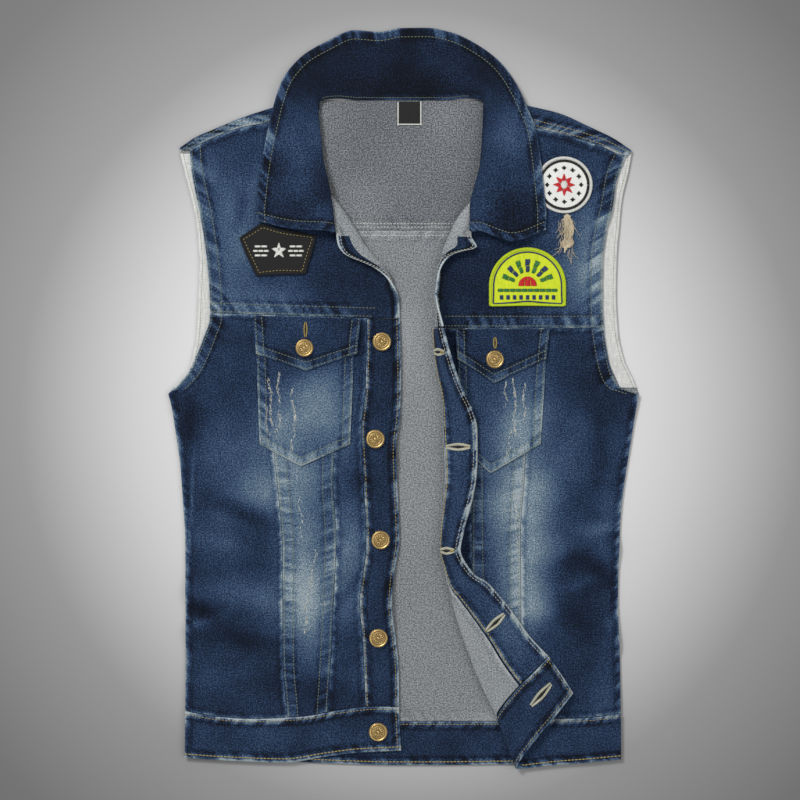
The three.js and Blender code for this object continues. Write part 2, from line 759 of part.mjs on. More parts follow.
function backYoke() {
  const [tipRight, tipLeft] = [SHOULDER_RIGHT.at(0).x, SHOULDER_LEFT.at(-1).x];
  const [endRight, endLeft] = [SHOULDER_SEAM_RIGHT.at(0).x, SHOULDER_SEAM_LEFT.at(-1).x];
  const [lowRight, lowLeft] = [armholeBackRight(BACK_YOKE_SEAM), armholeBackLeft(BACK_YOKE_SEAM)];
  const shoulder = (t, tip, end, low, side, foldAt, seamAt, outer) => {
    const foldX = mix(tip, side * NECK_HALF_WIDTH, t);
    const seamX = mix(end, side * NECK_HALF_WIDTH, t);
    const seam = { x: seamX, y: seamAt(seamX) + SEAM_GAP / 2 };
    const lowerX = mix(low, side * NECK_HALF_WIDTH, t);
    return yokeLine({ lowerX, foldX, foldY: foldAt(foldX), seam, outer: t === 0 ? outer : undefined });
  };
  const right = steps(YOKE.shoulderColumns).map((t) =>
    shoulder(t, tipRight, endRight, lowRight, -1, shoulderRight, shoulderSeamRight, armholeBackRight),
  );
  const neck = steps(YOKE.neckColumns).slice(1, -1).map((t) => {
    const x = mix(-NECK_HALF_WIDTH, NECK_HALF_WIDTH, t);
    return yokeLine({ lowerX: x, foldX: x, foldY: NECK_SEAM });
  });
  const left = steps(YOKE.shoulderColumns).map((t) =>
    shoulder(1 - t, tipLeft, endLeft, lowLeft, 1, shoulderLeft, shoulderSeamLeft, armholeBackLeft),
  );
  const lines = [...right, ...neck, ...left];
  const grid = lines[0].map((_, v) => lines.map((line) => line[v]));
  const overShoulder = (u) => u < right.length - 1 || u >= right.length + neck.length;
  return wall(grid, DENIM, { keep: (u, v) => v < YOKE.rows || overShoulder(u) });
}

function backPanel() {
  const edges = {
    left: backOuterRight,
    right: backOuterLeft,
    bottom: () => BACK_BAND_SEAM,
    top: () => BACK_YOKE_SEAM,
  };
  return panel(edges, { columns: 6, rows: 22, under: onFloor, cornerAt: UNDERARM });
}

function backBand() {
  const edges = {
    left: sideRight,
    right: sideLeft,
    bottom: curve(HEM_BACK, "x", "y"),
    top: () => BACK_BAND_SEAM,
  };
  return panel(edges, { columns: 14, rows: 2, under: onFloor, thickness: FOLDED_DENIM });
}

// White tape along the inside of the back's armhole.
function armholeTape(armhole, side) {
  const inner = (y) => armhole(y) - side * TAPE_WIDTH;
  const edges = {
    left: side < 0 ? armhole : inner,
    right: side < 0 ? inner : armhole,
    bottom: () => TAPE_FOOT,
    top: () => TAPE_TOP,
  };
  return panel(edges, { columns: 1, rows: 16, under: () => DENIM + LAYER_GAP, thickness: TAPE });
}

// The fronts

function bodyPanels() {
  const right = { bottom: bandSeamRight, top: chestRight };
  const left = { bottom: bandSeamLeft, top: chestLeft };
  const side = { columns: 6, rows: 17, under: frontUnderside, cornerAt: UNDERARM };
  const ribs = { columns: 3, rows: 17, under: frontUnderside };
  const leftSide = { left: outerVLeft, right: frontOuterLeft, ...left };
  return {
    side_front_right: panel({ left: frontOuterRight, right: outerVRight, ...right }, side),
    v_panel_right: panel({ left: outerVRight, right: innerVRight, ...right }, ribs),
    inner_front_right: panel(
      { left: innerVRight, right: stripSeamRight, ...right },
      { ...ribs, columns: 2 },
    ),
    button_strip: panel(
      { left: stripSeamRight, right: frontEdgeRight, ...right },
      { ...ribs, thickness: FOLDED_DENIM },
    ),
    side_front_left: panel(leftSide, { ...side, cornerAt: undefined }),
    v_panel_left: panel({ left: innerVLeft, right: outerVLeft, ...left }, ribs),
    front_band_right: panel(
      { left: sideRight, right: frontEdgeRight, bottom: curve(HEM_RIGHT, "x", "y"), top: bandSeamRight },
      { columns: 16, rows: 3, under: frontUnderside, thickness: FOLDED_DENIM },
    ),
  };
}

// A yoke runs from its armhole to where the cloth lifts off, and on round the lapel to its edge.
function frontYoke({ armhole, chest, shoulderSeam, lapel, side }) {
  const row = rowsOf(lapel, "y");
  const liftAt = (y) => row(y).liftX;
  const edges = {
    left: side < 0 ? armhole : liftAt,
    right: side < 0 ? liftAt : armhole,
    bottom: chest,
    top: shoulderSeam,
  };
  const height = (x, y) => frontUnderside(x, y) + DENIM / 2;
  const grid = steps(FRONT_YOKE.rows).map((v) => {
    const body = steps(FRONT_YOKE.columns).map((u) => {
      const { x, y } = between(edges, u, v);
      return new THREE.Vector3(x, y, height(x, y));
    });
    if (side > 0) body.reverse();
    const lift = body[body.length - 1];
    const { rollX, rollZ, edgeX, edgeY, edgeZ } = row(lift.y);
    const turned = clamp((side * (edgeX - rollX)) / LAPEL_TURN);
    const base = height(rollX, lift.y);
    const shift = v === 0 ? SEAM_GAP / 2 : 0;
    const roll = new THREE.Vector3(rollX, lift.y, base + rollZ);
    const edge = new THREE.Vector3(edgeX, edgeY + shift, base + edgeZ);
    const crest = roll.clone().lerp(edge, LAPEL_CREST.share);
    crest.z = mix(roll.z, edge.z, LAPEL_CREST.share + LAPEL_CREST.turned * turned);
    crest.z += LAPEL_CREST.rise * turned;
    const path = new THREE.CatmullRomCurve3([body[body.length - 2], lift, roll, crest, edge]);
    const turn = steps(FRONT_YOKE.lapelColumns).slice(1).map((t) => path.getPoint(mix(LAPEL_START, 1, t)));
    const line = [...body, ...turn];
    return side > 0 ? line.reverse() : line;
  });
  return wall(grid, DENIM);
}

// One row of the turned left front: a curve from the free edge back to where the cloth lifts off.
function turnedRow(sizes, thickness) {
  const { liftX, liftY, rollX, rollY, rollZ, seamX, seamY, seamZ, edgeX, edgeY, edgeZ } = sizes;
  const height = (x, y) => frontUnderside(x, y) + thickness / 2;
  const edge = new THREE.Vector3(edgeX, edgeY, edgeZ);
  const seam = new THREE.Vector3(seamX, seamY, seamZ);
  const roll = new THREE.Vector3(rollX, rollY, rollZ);
  const lift = new THREE.Vector3(liftX, liftY, height(liftX, liftY));
  const body = new THREE.Vector3(liftX + ROW_LEAD, liftY, height(liftX + ROW_LEAD, liftY));
  const strip = edge.clone().sub(seam);
  const bulge = new THREE.Vector3(-strip.z, 0, Math.hypot(strip.x, strip.y)).normalize();
  const crown = seam.clone().lerp(edge, STRIP_CROWN).addScaledVector(bulge, STRIP_BULGE);
  return new THREE.CatmullRomCurve3([edge, crown, seam, roll, lift, body]);
}

function buttonholeStrip() {
  const row = rowsOf(TURNED_FRONT);
  const last = TURNED_FRONT.length - 1;
  const grid = steps(TURNED.rows).map((v) => {
    const path = turnedRow(row(last * (1 - v)), DENIM);
    const seam = ROW_SHARES.seam - STRIP_SHARE;
    return steps(TURNED.stripColumns).map((u) => path.getPoint(mix(ROW_SHARES.edge, seam, u)));
  });
  return wall(grid, FOLDED_DENIM);
}

function innerFrontLeft() {
  const row = rowsOf(TURNED_FRONT);
  const last = TURNED_FRONT.length - 1;
  const grid = steps(TURNED.rows).map((v) => {
    const path = turnedRow(row(last * (1 - v)), DENIM);
    const lift = path.getPoint(ROW_SHARES.lift);
    const seam = ROW_SHARES.seam + SEAM_SHARE;
    const turn = steps(TURNED.turnColumns).map((u) => path.getPoint(mix(seam, ROW_SHARES.lift, u)));
    const outerX = innerVLeft(lift.y) - SEAM_GAP / 2;
    const body = steps(TURNED.bodyColumns).slice(1).map((u) => {
      const x = mix(lift.x, outerX, u);
      return new THREE.Vector3(x, lift.y, frontUnderside(x, lift.y) + DENIM / 2);
    });
    return [...turn, ...body];
  });
  return wall(grid, DENIM);
}

function frontBandLeft() {
  const row = rowsOf(TURNED_BAND);
  const last = TURNED_BAND.length - 1;
  const hem = curve(HEM_LEFT, "x", "y");
  const grid = steps(BAND.rows).map((v) => {
    const sizes = row(last * (1 - v));
    const path = turnedRow(sizes, FOLDED_DENIM);
    const { edge, lift } = ROW_SHARES;
    const turn = steps(BAND.turnColumns).map((u) => path.getPoint(mix(edge, lift, u)));
    const level = (x) => mix(hem(x), bandSeamLeft(x) - SEAM_GAP, v);
    const drift = sizes.liftY - level(sizes.liftX);
    const body = steps(BAND.bodyColumns).slice(1).map((u) => {
      const x = mix(sizes.liftX, sideLeft(BAND_MIDDLE) - SEAM_GAP / 2, u);
      const y = level(x) + drift * (1 - smooth(u * 2));
      return new THREE.Vector3(x, y, frontUnderside(x, y) + FOLDED_DENIM / 2);
    });
    return [...turn, ...body];
  });
  return wall(grid, FOLDED_DENIM);
}

// Pockets and flaps

function pocket({ outerX, innerX, lowerOuterX, lowerInnerX, pointX, top, corner, point }) {
  const outer = polyline([{ y: top, x: outerX }, { y: corner, x: lowerOuterX }], "y", "x");
  const inner = polyline([{ y: top, x: innerX }, { y: corner, x: lowerInnerX }], "y", "x");
  const foot = [{ x: lowerOuterX, y: corner }, { x: pointX, y: point }, { x: lowerInnerX, y: corner }];
  const [left, right] = outerX < innerX ? [outer, inner] : [inner, outer];
  const edges = { left, right, bottom: polyline(foot, "x", "y"), top: () => top };
  const under = (x, y) => frontTop(x, y) + LAYER_GAP;
  return panel(edges, { columns: 8, rows: 8, under, thickness: POCKET_CLOTH });
}

function flap({ outerX, innerX, lowerOuterX, lowerInnerX, pointX, corner, point }, pocketTop, chest) {
  const head = chest(pointX) - FLAP_DROP;
  const outer = polyline([{ y: head, x: outerX }, { y: corner, x: lowerOuterX }], "y", "x");
  const inner = polyline([{ y: head, x: innerX }, { y: corner, x: lowerInnerX }], "y", "x");
  const foot = [{ x: lowerOuterX, y: corner }, { x: pointX, y: point }, { x: lowerInnerX, y: corner }];
  const [left, right] = outerX < innerX ? [outer, inner] : [inner, outer];
  const edges = { left, right, bottom: polyline(foot, "x", "y"), top: (x) => chest(x) - FLAP_DROP };
  const overPocket = POCKET_CLOTH + LAYER_GAP + FLAP_EASE;
  const fall = head - pocketTop - FLAP_DROP;
  const under = (x, y) => frontTop(x, y) + LAYER_GAP + overPocket * smooth((head - y) / fall);
  return panel(edges, { columns: 8, rows: 6, under, thickness: POCKET_CLOTH });
}

// The collar

function collar() {
  const row = rowsOf(COLLAR);
  const last = COLLAR.length - 1;
  const grid = steps(COLLAR_CELLS.across).map((u) => {
    const { seamX, seamY, rollX, rollY, edgeX, edgeY, bow, rise, fold } = row(last * u);
    const onChest = frontTop(edgeX, edgeY) + COLLAR_EDGE_CLEARANCE;
    const edgeHeight = mix(COLLAR_FLAT_HEIGHT, onChest, smooth(fold * COLLAR_LANDING));
    const seam = new THREE.Vector3(seamX, seamY, rise);
    const roll = new THREE.Vector3(rollX, rollY, rise + COLLAR_ROLL_RISE * fold);
    const edge = new THREE.Vector3(edgeX, edgeY, edgeHeight);
    const { open, folded } = COLLAR_CREST_SHARE;
    const crest = roll.clone().lerp(edge, mix(open, folded, fold));
    crest.z = mix(mix(roll.z, edge.z, open), rise + COLLAR_CREST_RISE, fold);
    const body = roll.clone().lerp(edge, COLLAR_BODY.share);
    body.z = mix(crest.z, edge.z, COLLAR_BODY.fall) + COLLAR_BODY.bulge * fold;
    body.y += bow;
    return new THREE.CatmullRomCurve3([seam, roll, crest, body, edge]).getPoints(COLLAR_CELLS.up);
  });
  const turned = grid[0].map((_, v) => grid.map((line) => line[v]));
  return wall(turned, COLLAR_CLOTH);
}

// Buttons: a domed head with a raised rim over a short foot.
function button({ x, y }, radius, under) {
  const points = BUTTON_PROFILE.map(({ out, up }) => new THREE.Vector2(out * radius, up * BUTTON_HEIGHT));
  const geometry = new THREE.LatheGeometry(points, BUTTON_SIDES);
  geometry.rotateX(Math.PI / 2);
  geometry.translate(x, y, under);
  return geometry;
}

// The assembly

const vest = new THREE.Group();

function sew(name, geometry, material) {
  const mesh = new THREE.Mesh(geometry, material);
  mesh.name = name;
  vest.add(mesh);
}

sew("back_yoke", backYoke(), DENIM_INSIDE);
sew("back_panel", backPanel(), DENIM_INSIDE);
sew("back_band", backBand(), DENIM_BLUE);
sew("armhole_tape_right", armholeTape(armholeBackRight, -1), WHITE_TAPE);
sew("armhole_tape_left", armholeTape(armholeBackLeft, 1), WHITE_TAPE);
Object.entries(bodyPanels()).forEach(([name, geometry]) => sew(name, geometry, DENIM_BLUE));

const yokes = {
  front_yoke_right: {
    armhole: armholeFrontRight,
    chest: chestRight,
    shoulderSeam: shoulderSeamRight,
    lapel: LAPEL_RIGHT,
    side: -1,
  },
  front_yoke_left: {
    armhole: armholeFrontLeft,
    chest: chestLeft,
    shoulderSeam: shoulderSeamLeft,
    lapel: LAPEL_LEFT,
    side: 1,
  },
};
Object.entries(yokes).forEach(([name, sizes]) => sew(name, frontYoke(sizes), DENIM_BLUE));

sew("inner_front_left", innerFrontLeft(), DENIM_BLUE);
sew("buttonhole_strip", buttonholeStrip(), DENIM_BLUE);
sew("front_band_left", frontBandLeft(), DENIM_BLUE);
POCKETS.forEach((sizes) => sew(`pocket_${sizes.side}`, pocket(sizes), DENIM_BLUE));
FLAPS.forEach((sizes, i) => {
  const chest = sizes.side === "right" ? chestRight : chestLeft;
  sew(`flap_${sizes.side}`, flap(sizes, POCKETS[i].top, chest), DENIM_BLUE);
});
sew("collar", collar(), DENIM_BLUE);

// The highest that a surface reaches under a round button.
function seat({ x, y }, radius, under) {
  const around = steps(SEAT_CHECKS).map((t) => {
    const angle = 2 * Math.PI * t;
    return under(x + radius * Math.cos(angle), y + radius * Math.sin(angle));
  });
  return Math.max(under(x, y), ...around);
}

BUTTONS.forEach(({ x, y }, i) => {
  const under = seat({ x, y }, BUTTON_RADIUS * BUTTON_FOOT, frontUnderside) + FOLDED_DENIM + LAYER_GAP;
  sew(`button_${i + 1}`, button({ x, y }, BUTTON_RADIUS, under), AGED_BRASS);
});

const overFlap = 2 * (POCKET_CLOTH + LAYER_GAP) + POCKET_BUTTON_CLEARANCE;
Object.entries(POCKET_BUTTONS).forEach(([side, { x, y }]) => {
  const under = seat({ x, y }, POCKET_BUTTON_RADIUS * BUTTON_FOOT, frontTop) + overFlap;
  sew(`pocket_button_${side}`, button({ x, y }, POCKET_BUTTON_RADIUS, under), AGED_BRASS);
});

// Sewn-on patches, the neck label and the frayed spot

sew("patch_pentagon", patch(PENTAGON_MIDDLE, reachOf(PENTAGON_PATCH, PENTAGON_MIDDLE)), PATCH_BLACK);
sew("patch_round", patch(ROUND_PATCH, () => ROUND_PATCH.radius), PATCH_WHITE);

function domePatch({ left, right, bottom, springing }) {
  const middle = { x: (left + right) / 2, y: springing };
  const radius = (right - left) / 2;
  const corners = table("x y", [
    [left, springing],
    [left, bottom],
    [right, bottom],
    [right, springing],
  ]);
  const lower = reachOf(corners, middle);
  return patch(middle, (angle) => (angle >= 0 ? radius : lower(angle)));
}

sew("patch_dome", domePatch(DOME_PATCH), PATCH_LIME);

function strip({ left, right, bottom, top }, sizes) {
  return panel({ left: () => left, right: () => right, bottom: () => bottom, top: () => top }, sizes);
}

const onBack = { columns: 1, rows: 1, under: () => DENIM + LAYER_GAP, thickness: LABEL };
const onChest = { columns: 3, rows: 5, under: onFront, thickness: LABEL };
sew("neck_label", strip(NECK_LABEL, onBack), LABEL_BLACK);
sew("frayed_spot", strip(FRAYED_SPOT, onChest), FRAYED_COTTON);

export default vest;
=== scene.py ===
"""Looks of a denim vest that lies flat and open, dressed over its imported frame.

Lengths in the tables are millimetres in the frame's axes: +X to the wearer's left, +Y to the collar, +Z up.
"""

import logging
import math
from collections.abc import Callable, Sequence
from dataclasses import dataclass, field, replace
from enum import Enum

import bpy
import numpy as np
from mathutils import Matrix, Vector


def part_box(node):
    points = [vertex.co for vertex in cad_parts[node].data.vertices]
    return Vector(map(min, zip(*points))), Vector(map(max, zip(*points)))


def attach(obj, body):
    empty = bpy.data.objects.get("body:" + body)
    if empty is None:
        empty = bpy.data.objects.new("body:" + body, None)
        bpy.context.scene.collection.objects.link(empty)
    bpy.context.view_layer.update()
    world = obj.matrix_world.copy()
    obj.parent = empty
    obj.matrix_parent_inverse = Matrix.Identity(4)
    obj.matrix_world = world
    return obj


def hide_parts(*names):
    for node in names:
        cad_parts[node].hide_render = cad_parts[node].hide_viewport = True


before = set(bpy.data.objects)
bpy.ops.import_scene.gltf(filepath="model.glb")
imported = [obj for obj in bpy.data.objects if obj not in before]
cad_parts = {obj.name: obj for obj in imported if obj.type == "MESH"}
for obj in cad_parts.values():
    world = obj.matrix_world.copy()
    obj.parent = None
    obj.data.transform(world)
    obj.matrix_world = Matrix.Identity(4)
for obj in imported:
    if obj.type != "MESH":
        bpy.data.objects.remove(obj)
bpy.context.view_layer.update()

log = logging.getLogger("vest")
METRE = 0.001

Grid = np.ndarray
Table = dict[str, np.ndarray]
Line = Callable[[Grid], Grid]
Span = tuple[float, float]
Spot = tuple[float, float]
Tint = tuple[int, int, int]
Node, Socket, Tree, Material = (
    bpy.types.Node, bpy.types.NodeSocket, bpy.types.NodeTree, bpy.types.Material,
)

# Thicknesses of cloth and trim, and the gaps between them

DENIM = 1.2
FOLDED_DENIM = 2.4
COLLAR_CLOTH = 2.6
POCKET_CLOTH = 1.5
TAPE = 0.8
PATCH = 1.2
LABEL = 0.6
SEAM_GAP = 0.35
LAYER_GAP = 0.35

# How the fronts rest on the back

FRONT_REST = 2.8
FRONT_REST_AT_SIDE = 1.6
SETTLE = {"top": -4, "top_blend": 24, "bottom": -318, "bottom_blend": 44, "width": 26}
PUFF = {"height": 1.4, "reach": 60, "top": 280, "bottom": -318}
FOLDS_END = {"level": -322, "blend": 30}
FRONT_SPLIT = 16
LEFT_LIFT = 46

# How the shoulders fold, the lapels turn out and the armhole tapes lie

SHOULDER_FOLD_RADIUS = 1.4
SHOULDER_DRIFT = 0.2
SHOULDER_TIP_RIGHT, SHOULDER_TIP_LEFT = (-224.6, -213.4), (229.6, 223.0)
YOKE_LENGTH = 130
YOKE_WIDTH = 130
FRONT_YOKE_LENGTH = 185
LAPEL_WIDTH = 50
LAPEL_TURN = 14
LAPEL_CREST = {"share": 0.32, "turned": 0.58, "rise": 0.5}
LAPEL_START = 0.25
TAPE_WIDTH = 17
TAPE_TOP = 245
TAPE_FOOT = 10

# Where the turned front's rows bend, as shares of each row, and how its strip bulges

SEAM_AT = 0.4
LIFT_AT = 0.8
ROW_LEAD = 12
TURNED_ROWS = 190
STRIP_CROWN = 0.4
STRIP_BULGE = 3
STRIP_SHARE = 0.016
SEAM_SHARE = 0.004
STRIP_WIDTH = 32
ROLL_WIDTH = 46
BAND_HEIGHT = 50
BAND_TURN = 78
BAND_LENGTH = 105
BAND_MIDDLE = -340
BAND_HOLE_X, BAND_HOLE_Y = (147.5, 127.5), (-284.5, -306.5)

# Levels of the cross seams, from the underarm

UNDERARM = 4
NECK_SEAM = 298
BACK_YOKE_SEAM = 168
BACK_BAND_SEAM = -324
NECK_HALF_WIDTH = 84

# The collar's heights, and the shares of its width where it bends

COLLAR_WIDTH = 80
COLLAR_COLUMNS = 330
COLLAR_PITCH = 2.6
COLLAR_FLAT_HEIGHT = 1.5
COLLAR_ROLL_RISE = 1.4
COLLAR_CREST_RISE = 3.4
COLLAR_EDGE_CLEARANCE = 3.3
COLLAR_LANDING = 1.4
COLLAR_CREST_SHARE = {"open": 0.3, "folded": 0.12}
COLLAR_BODY = {"share": 0.55, "fall": 0.45, "bulge": 0.8}

# Buttons and flaps

BUTTON_RADIUS = 9.2
POCKET_BUTTON_RADIUS = 8.8
BUTTON_HEIGHT = 4.2
FLAP_DROP = 1
FLAP_EASE = 0.3

# The line inside a patch's rim, the frayed spot's box, and the floor's level in metres

PATCH_LINE = 4.6
FRAYED_SPOT = (154, 171, 145, 184)
FLOOR_LEVEL = -0.0004

# Steps of the drawing in mm, passes of the outline search, and the wave texture's rib in metres

ROW_PITCH = 2.2
PASSES = 24
RIBS_AT_SCALE_ONE = 0.314
TINY = 1e-9
UP = np.array([0.0, 0.0, 1.0])


def table(columns: str, rows: Sequence[Sequence[float]]) -> Table:
    """Turns rows of numbers into columns with the given names."""
    return {name: np.array([row[i] for row in rows], float) for i, name in enumerate(columns.split())}


def points_of(x: Grid, y: Grid, z: Grid) -> Grid:
    """Joins places across, along and up into points."""
    return np.stack(np.broadcast_arrays(x, y, z), axis=-1)


# Outlines of the pieces, from the shoulder down or from right to left

ARMHOLE_BACK_RIGHT = table("y x", [
    (250, -224.6), (225, -218.6), (198, -211.7), (170, -206.5), (132, -204), (93, -205.6), (63, -207),
    (43, -210.7), (28, -215), (15, -226), (UNDERARM, -235.3),
])
ARMHOLE_FRONT_RIGHT = table("y x", [
    (249, -213.4), (232, -212.4), (212, -209), (187, -204), (162, -199.6), (136, -196.2), (96, -193.4),
    (80, -193.4), (62, -199), (43, -206.5), (25, -215.5), (13, -226), (UNDERARM, -235.3),
])
ARMHOLE_BACK_LEFT = table("y x", [
    (247, 229.6), (227, 226), (198, 219.4), (171, 216.8), (144, 214.5), (106, 213.5), (68, 215.4),
    (40, 221), (20, 230), (UNDERARM, 236.6),
])
ARMHOLE_FRONT_LEFT = table("y x", [
    (240, 223), (215, 213.4), (192, 210), (167, 204), (135, 200), (106, 199.6), (71, 201), (39, 205.7),
    (20, 211), (10, 218.5), (UNDERARM, 236.6),
])
SIDE_RIGHT = table("y x", [
    (UNDERARM, -235.3), (-8, -232), (-40, -227), (-69, -223), (-106, -220.4), (-141, -218.2),
    (-250, -217.8), (-362, -218.6),
])
SIDE_LEFT = table("y x", [
    (UNDERARM, 236.6), (-15, 233), (-47, 228), (-78, 223), (-109, 219), (-141, 217), (-205, 215.5),
    (-271, 217.6), (-362, 218.6),
])
SHOULDER_RIGHT = table("x y", [
    (-224.6, 250), (-208, 261), (-184, 271), (-157, 282), (-132, 290), (-NECK_HALF_WIDTH, 303),
])
SHOULDER_LEFT = table("x y", [
    (NECK_HALF_WIDTH, 303), (126.5, 292), (156, 285), (187.5, 271), (213, 258.5), (229.6, 247),
])
SHOULDER_SEAM_RIGHT = table("x y", [
    (-213.4, 249), (-184, 263), (-157, 272), (-134, 275.5), (-NECK_HALF_WIDTH, 287),
])
SHOULDER_SEAM_LEFT = table("x y", [
    (NECK_HALF_WIDTH, 284), (135, 270), (166.5, 262), (198, 252), (223, 240),
])
CHEST_SEAM_RIGHT = table("x y", [
    (-236, 86), (-193, 85), (-98, 82), (0, 79),
])
CHEST_SEAM_LEFT = table("x y", [
    (30, 70), (236, 70),
])
BAND_SEAM_RIGHT = table("x y", [
    (-219, -313), (-185, -319), (-152, -321), (-102, -319), (-61, -312), (-28, -308.6), (0, -309.4),
])
BAND_SEAM_LEFT = table("x y", [
    (40, -321), (101, -322), (153, -321), (183, -320), (220, -315.5),
])
HEM_RIGHT = table("x y", [
    (-220, -360), (-177, -363), (-119, -365), (-77, -359), (-44, -355), (0, -353),
])
HEM_LEFT = table("x y", [
    (110, -371.8), (150, -367.4), (183, -365), (220, -361.6),
])
HEM_BACK = table("x y", [
    (-220, -357), (-100, -365), (0, -368), (110, -367), (220, -358),
])
OUTER_V_RIGHT = table("y x", [
    (86, -141), (-58, -128.6), (-98, -124.4), (-155, -120.3), (-255, -120.3), (-322, -115.6),
])
INNER_V_RIGHT = table("y x", [
    (86, -60), (-56, -69), (-81, -70), (-140, -67), (-213, -70), (-246, -71.4), (-322, -76),
])
OUTER_V_LEFT = table("y x", [
    (70, 141), (-58, 122.6), (-86, 121), (-132, 117.6), (-216, 118), (-322, 124),
])
INNER_V_LEFT = table("y x", [
    (70, 62), (-60, 68), (-200, 70), (-256, 79), (-284, 90), (-322, 106),
])
STRIP_SEAM_RIGHT = table("y x", [
    (86, -36), (10, -37.4), (-31, -41.5), (-89, -39), (-148, -36.8), (-205, -43.2), (-246, -40),
    (-312, -37.4),
])
FRONT_EDGE_RIGHT = table("y x", [
    (95, -3.2), (18, -1.7), (-15, -2.5), (-48, -6.7), (-98, -5), (-140, -3.4), (-180, -9.2), (-205, -11),
    (-238, -7.5), (-271, -4.2), (-312, -3.6), (-353, -1.7),
])
LAPEL_RIGHT = table("y liftX rollX rollZ edgeX edgeY edgeZ", [
    (80, -34, -17, 0, -3.2, 79.4, 0), (100, -34, -15, 1, -4, 100, 2), (110, -30, -13, 3, -8, 110, 6),
    (121, -26, -12.5, 4.5, -17, 121, 9.5), (131, -28, -19, 5, -31, 131, 9.6),
    (144, -39, -31, 5, -59, 144, 9), (153, -46.5, -38.5, 5, -65, 153, 9),
    (166, -54, -46, 4.6, -67.5, 167, 8), (180, -63, -55, 4.2, -76, 180, 7.4),
    (198, -77, -68, 3.4, -83, 198, 6), (212, -93, -81, 2, -84, 212, 4.5),
    (230, -104, -94, 0.3, -85.5, 230, 0.8), (282, -106, -96, 0, -86, 286, 0),
])
LAPEL_LEFT = table("y liftX rollX rollZ edgeX edgeY edgeZ", [
    (71, 44, 32.5, 6, 40, 71, 26), (83, 45, 33, 8, 36.5, 83, 26), (92, 49, 37, 9, 34, 92, 23),
    (103, 54, 41, 8, 32, 103, 19), (114, 55, 42, 6, 33, 114, 15), (128, 49, 34.5, 6, 36.5, 127, 12),
    (139, 46, 37.5, 5, 43, 138, 10), (146, 48, 39.5, 5, 54, 145, 9.4), (153, 50, 42, 5, 74, 150.5, 9),
    (164, 55, 47, 5, 68, 163, 9), (174, 60, 51.5, 5, 72, 174, 8.8), (186, 68, 59.5, 4.5, 76, 186, 8),
    (200, 82, 72, 3, 82, 200, 5), (216, 99, 89, 0.4, 80, 216, 1), (279, 103, 93, 0, 83, 283, 0),
])
TURNED_FRONT = table("liftX liftY rollX rollY rollZ seamX seamY seamZ edgeX edgeY edgeZ", [
    (44, 69.2, 33.5, 69.2, 5.5, 32, 69.2, 9, 40, 69.2, 29.4),
    (43, 48, 35, 48, 5.5, 33, 48, 9, 46, 47, 29.5), (45, 25, 37.6, 25, 5.5, 36, 25, 8.6, 53, 25, 27),
    (47, 4, 40.6, 4, 5.8, 39.5, 4, 9, 61.6, 4.5, 21.5),
    (48, -10, 41.4, -10, 6, 40.3, -10, 9.4, 68.7, -10, 16),
    (49, -32, 41.8, -32, 6.2, 40.8, -32, 9.8, 74.2, -32, 11.4),
    (50, -55, 43, -55, 6.2, 42, -55, 9.8, 74.4, -55, 10.6),
    (50, -78, 44, -78, 6.2, 43, -78, 9.8, 73.4, -78, 11.6),
    (49, -101, 42.6, -101, 6, 41.5, -101, 9.4, 69.6, -100, 15),
    (47, -132, 40.5, -132, 5.6, 39, -132, 8.6, 60.6, -132, 22),
    (46, -152, 40, -152, 5.6, 38.6, -152, 8.6, 57, -151, 25),
    (49, -171, 43.5, -171, 5.8, 42, -170, 9.4, 65, -168, 20),
    (53, -190, 46.5, -190, 6.4, 47, -188, 10.6, 73, -177, 15.5),
    (57, -208, 50, -207, 7.4, 57, -202, 12.2, 83, -183, 12.5),
    (65, -232, 57, -231, 8, 71.7, -221.5, 13, 98, -199.5, 10.4),
    (74, -256, 66, -256, 8, 86.7, -243, 13, 112.5, -218, 9.6),
    (85, -284, 76.5, -283, 8.2, 100, -264.6, 13, 127, -238.5, 9.4),
    (102, -321, 93.6, -317, 8.6, 116, -286.4, 13.2, 145, -257.6, 9.6),
])
TURNED_BAND = table("liftX liftY rollX rollY rollZ seamX seamY seamZ edgeX edgeY edgeZ", [
    (102.4, -322, 94.4, -318.6, 9, 116.7, -287, 14, 145.4, -258.1, 10.4),
    (112, -346, 103.6, -344, 9, 126, -311, 14.2, 158, -276, 10.6),
    (121.5, -371, 113.6, -369.6, 9, 136, -336, 13.6, 170, -294.6, 10.4),
])
FOLDS = table("x1 y1 x2 y2 width height", [
    (-140, 262, -186, 178, 19, -1.3), (-150, 212, -172, 150, 15, 2.8), (-196, 240, -198, 190, 13, 2),
    (-214, -196, -140, -206, 13, 4.2), (-224, -214, -182, -216, 9, -2.4), (-214, -236, -178, -226, 10, 3.2),
    (-176, -254, -130, -250, 24, -1.2), (-74, -214, -42, -172, 8, -2.2), (-64, -170, -46, -146, 10, 2.2),
    (-60, -236, -48, -204, 12, 2), (-24, -30, -12, -62, 15, 3.4), (-30, -176, -14, -216, 16, 3.8),
    (-208, -14, -200, -80, 15, 2.6), (-190, -100, -150, -136, 20, 2.2), (150, 262, 200, 236, 14, -1.3),
    (194, 238, 206, 190, 13, 1.6), (150, 200, 168, 130, 20, 2), (206, -30, 202, -120, 12, -1.4),
    (176, -40, 158, -110, 16, 2.8), (214, -150, 190, -182, 9, 3), (150, -176, 186, -262, 22, -1.3),
    (196, -206, 216, -246, 9, 3.4), (140, -150, 160, -190, 14, 2.2), (130, -280, 196, -296, 14, 2),
])
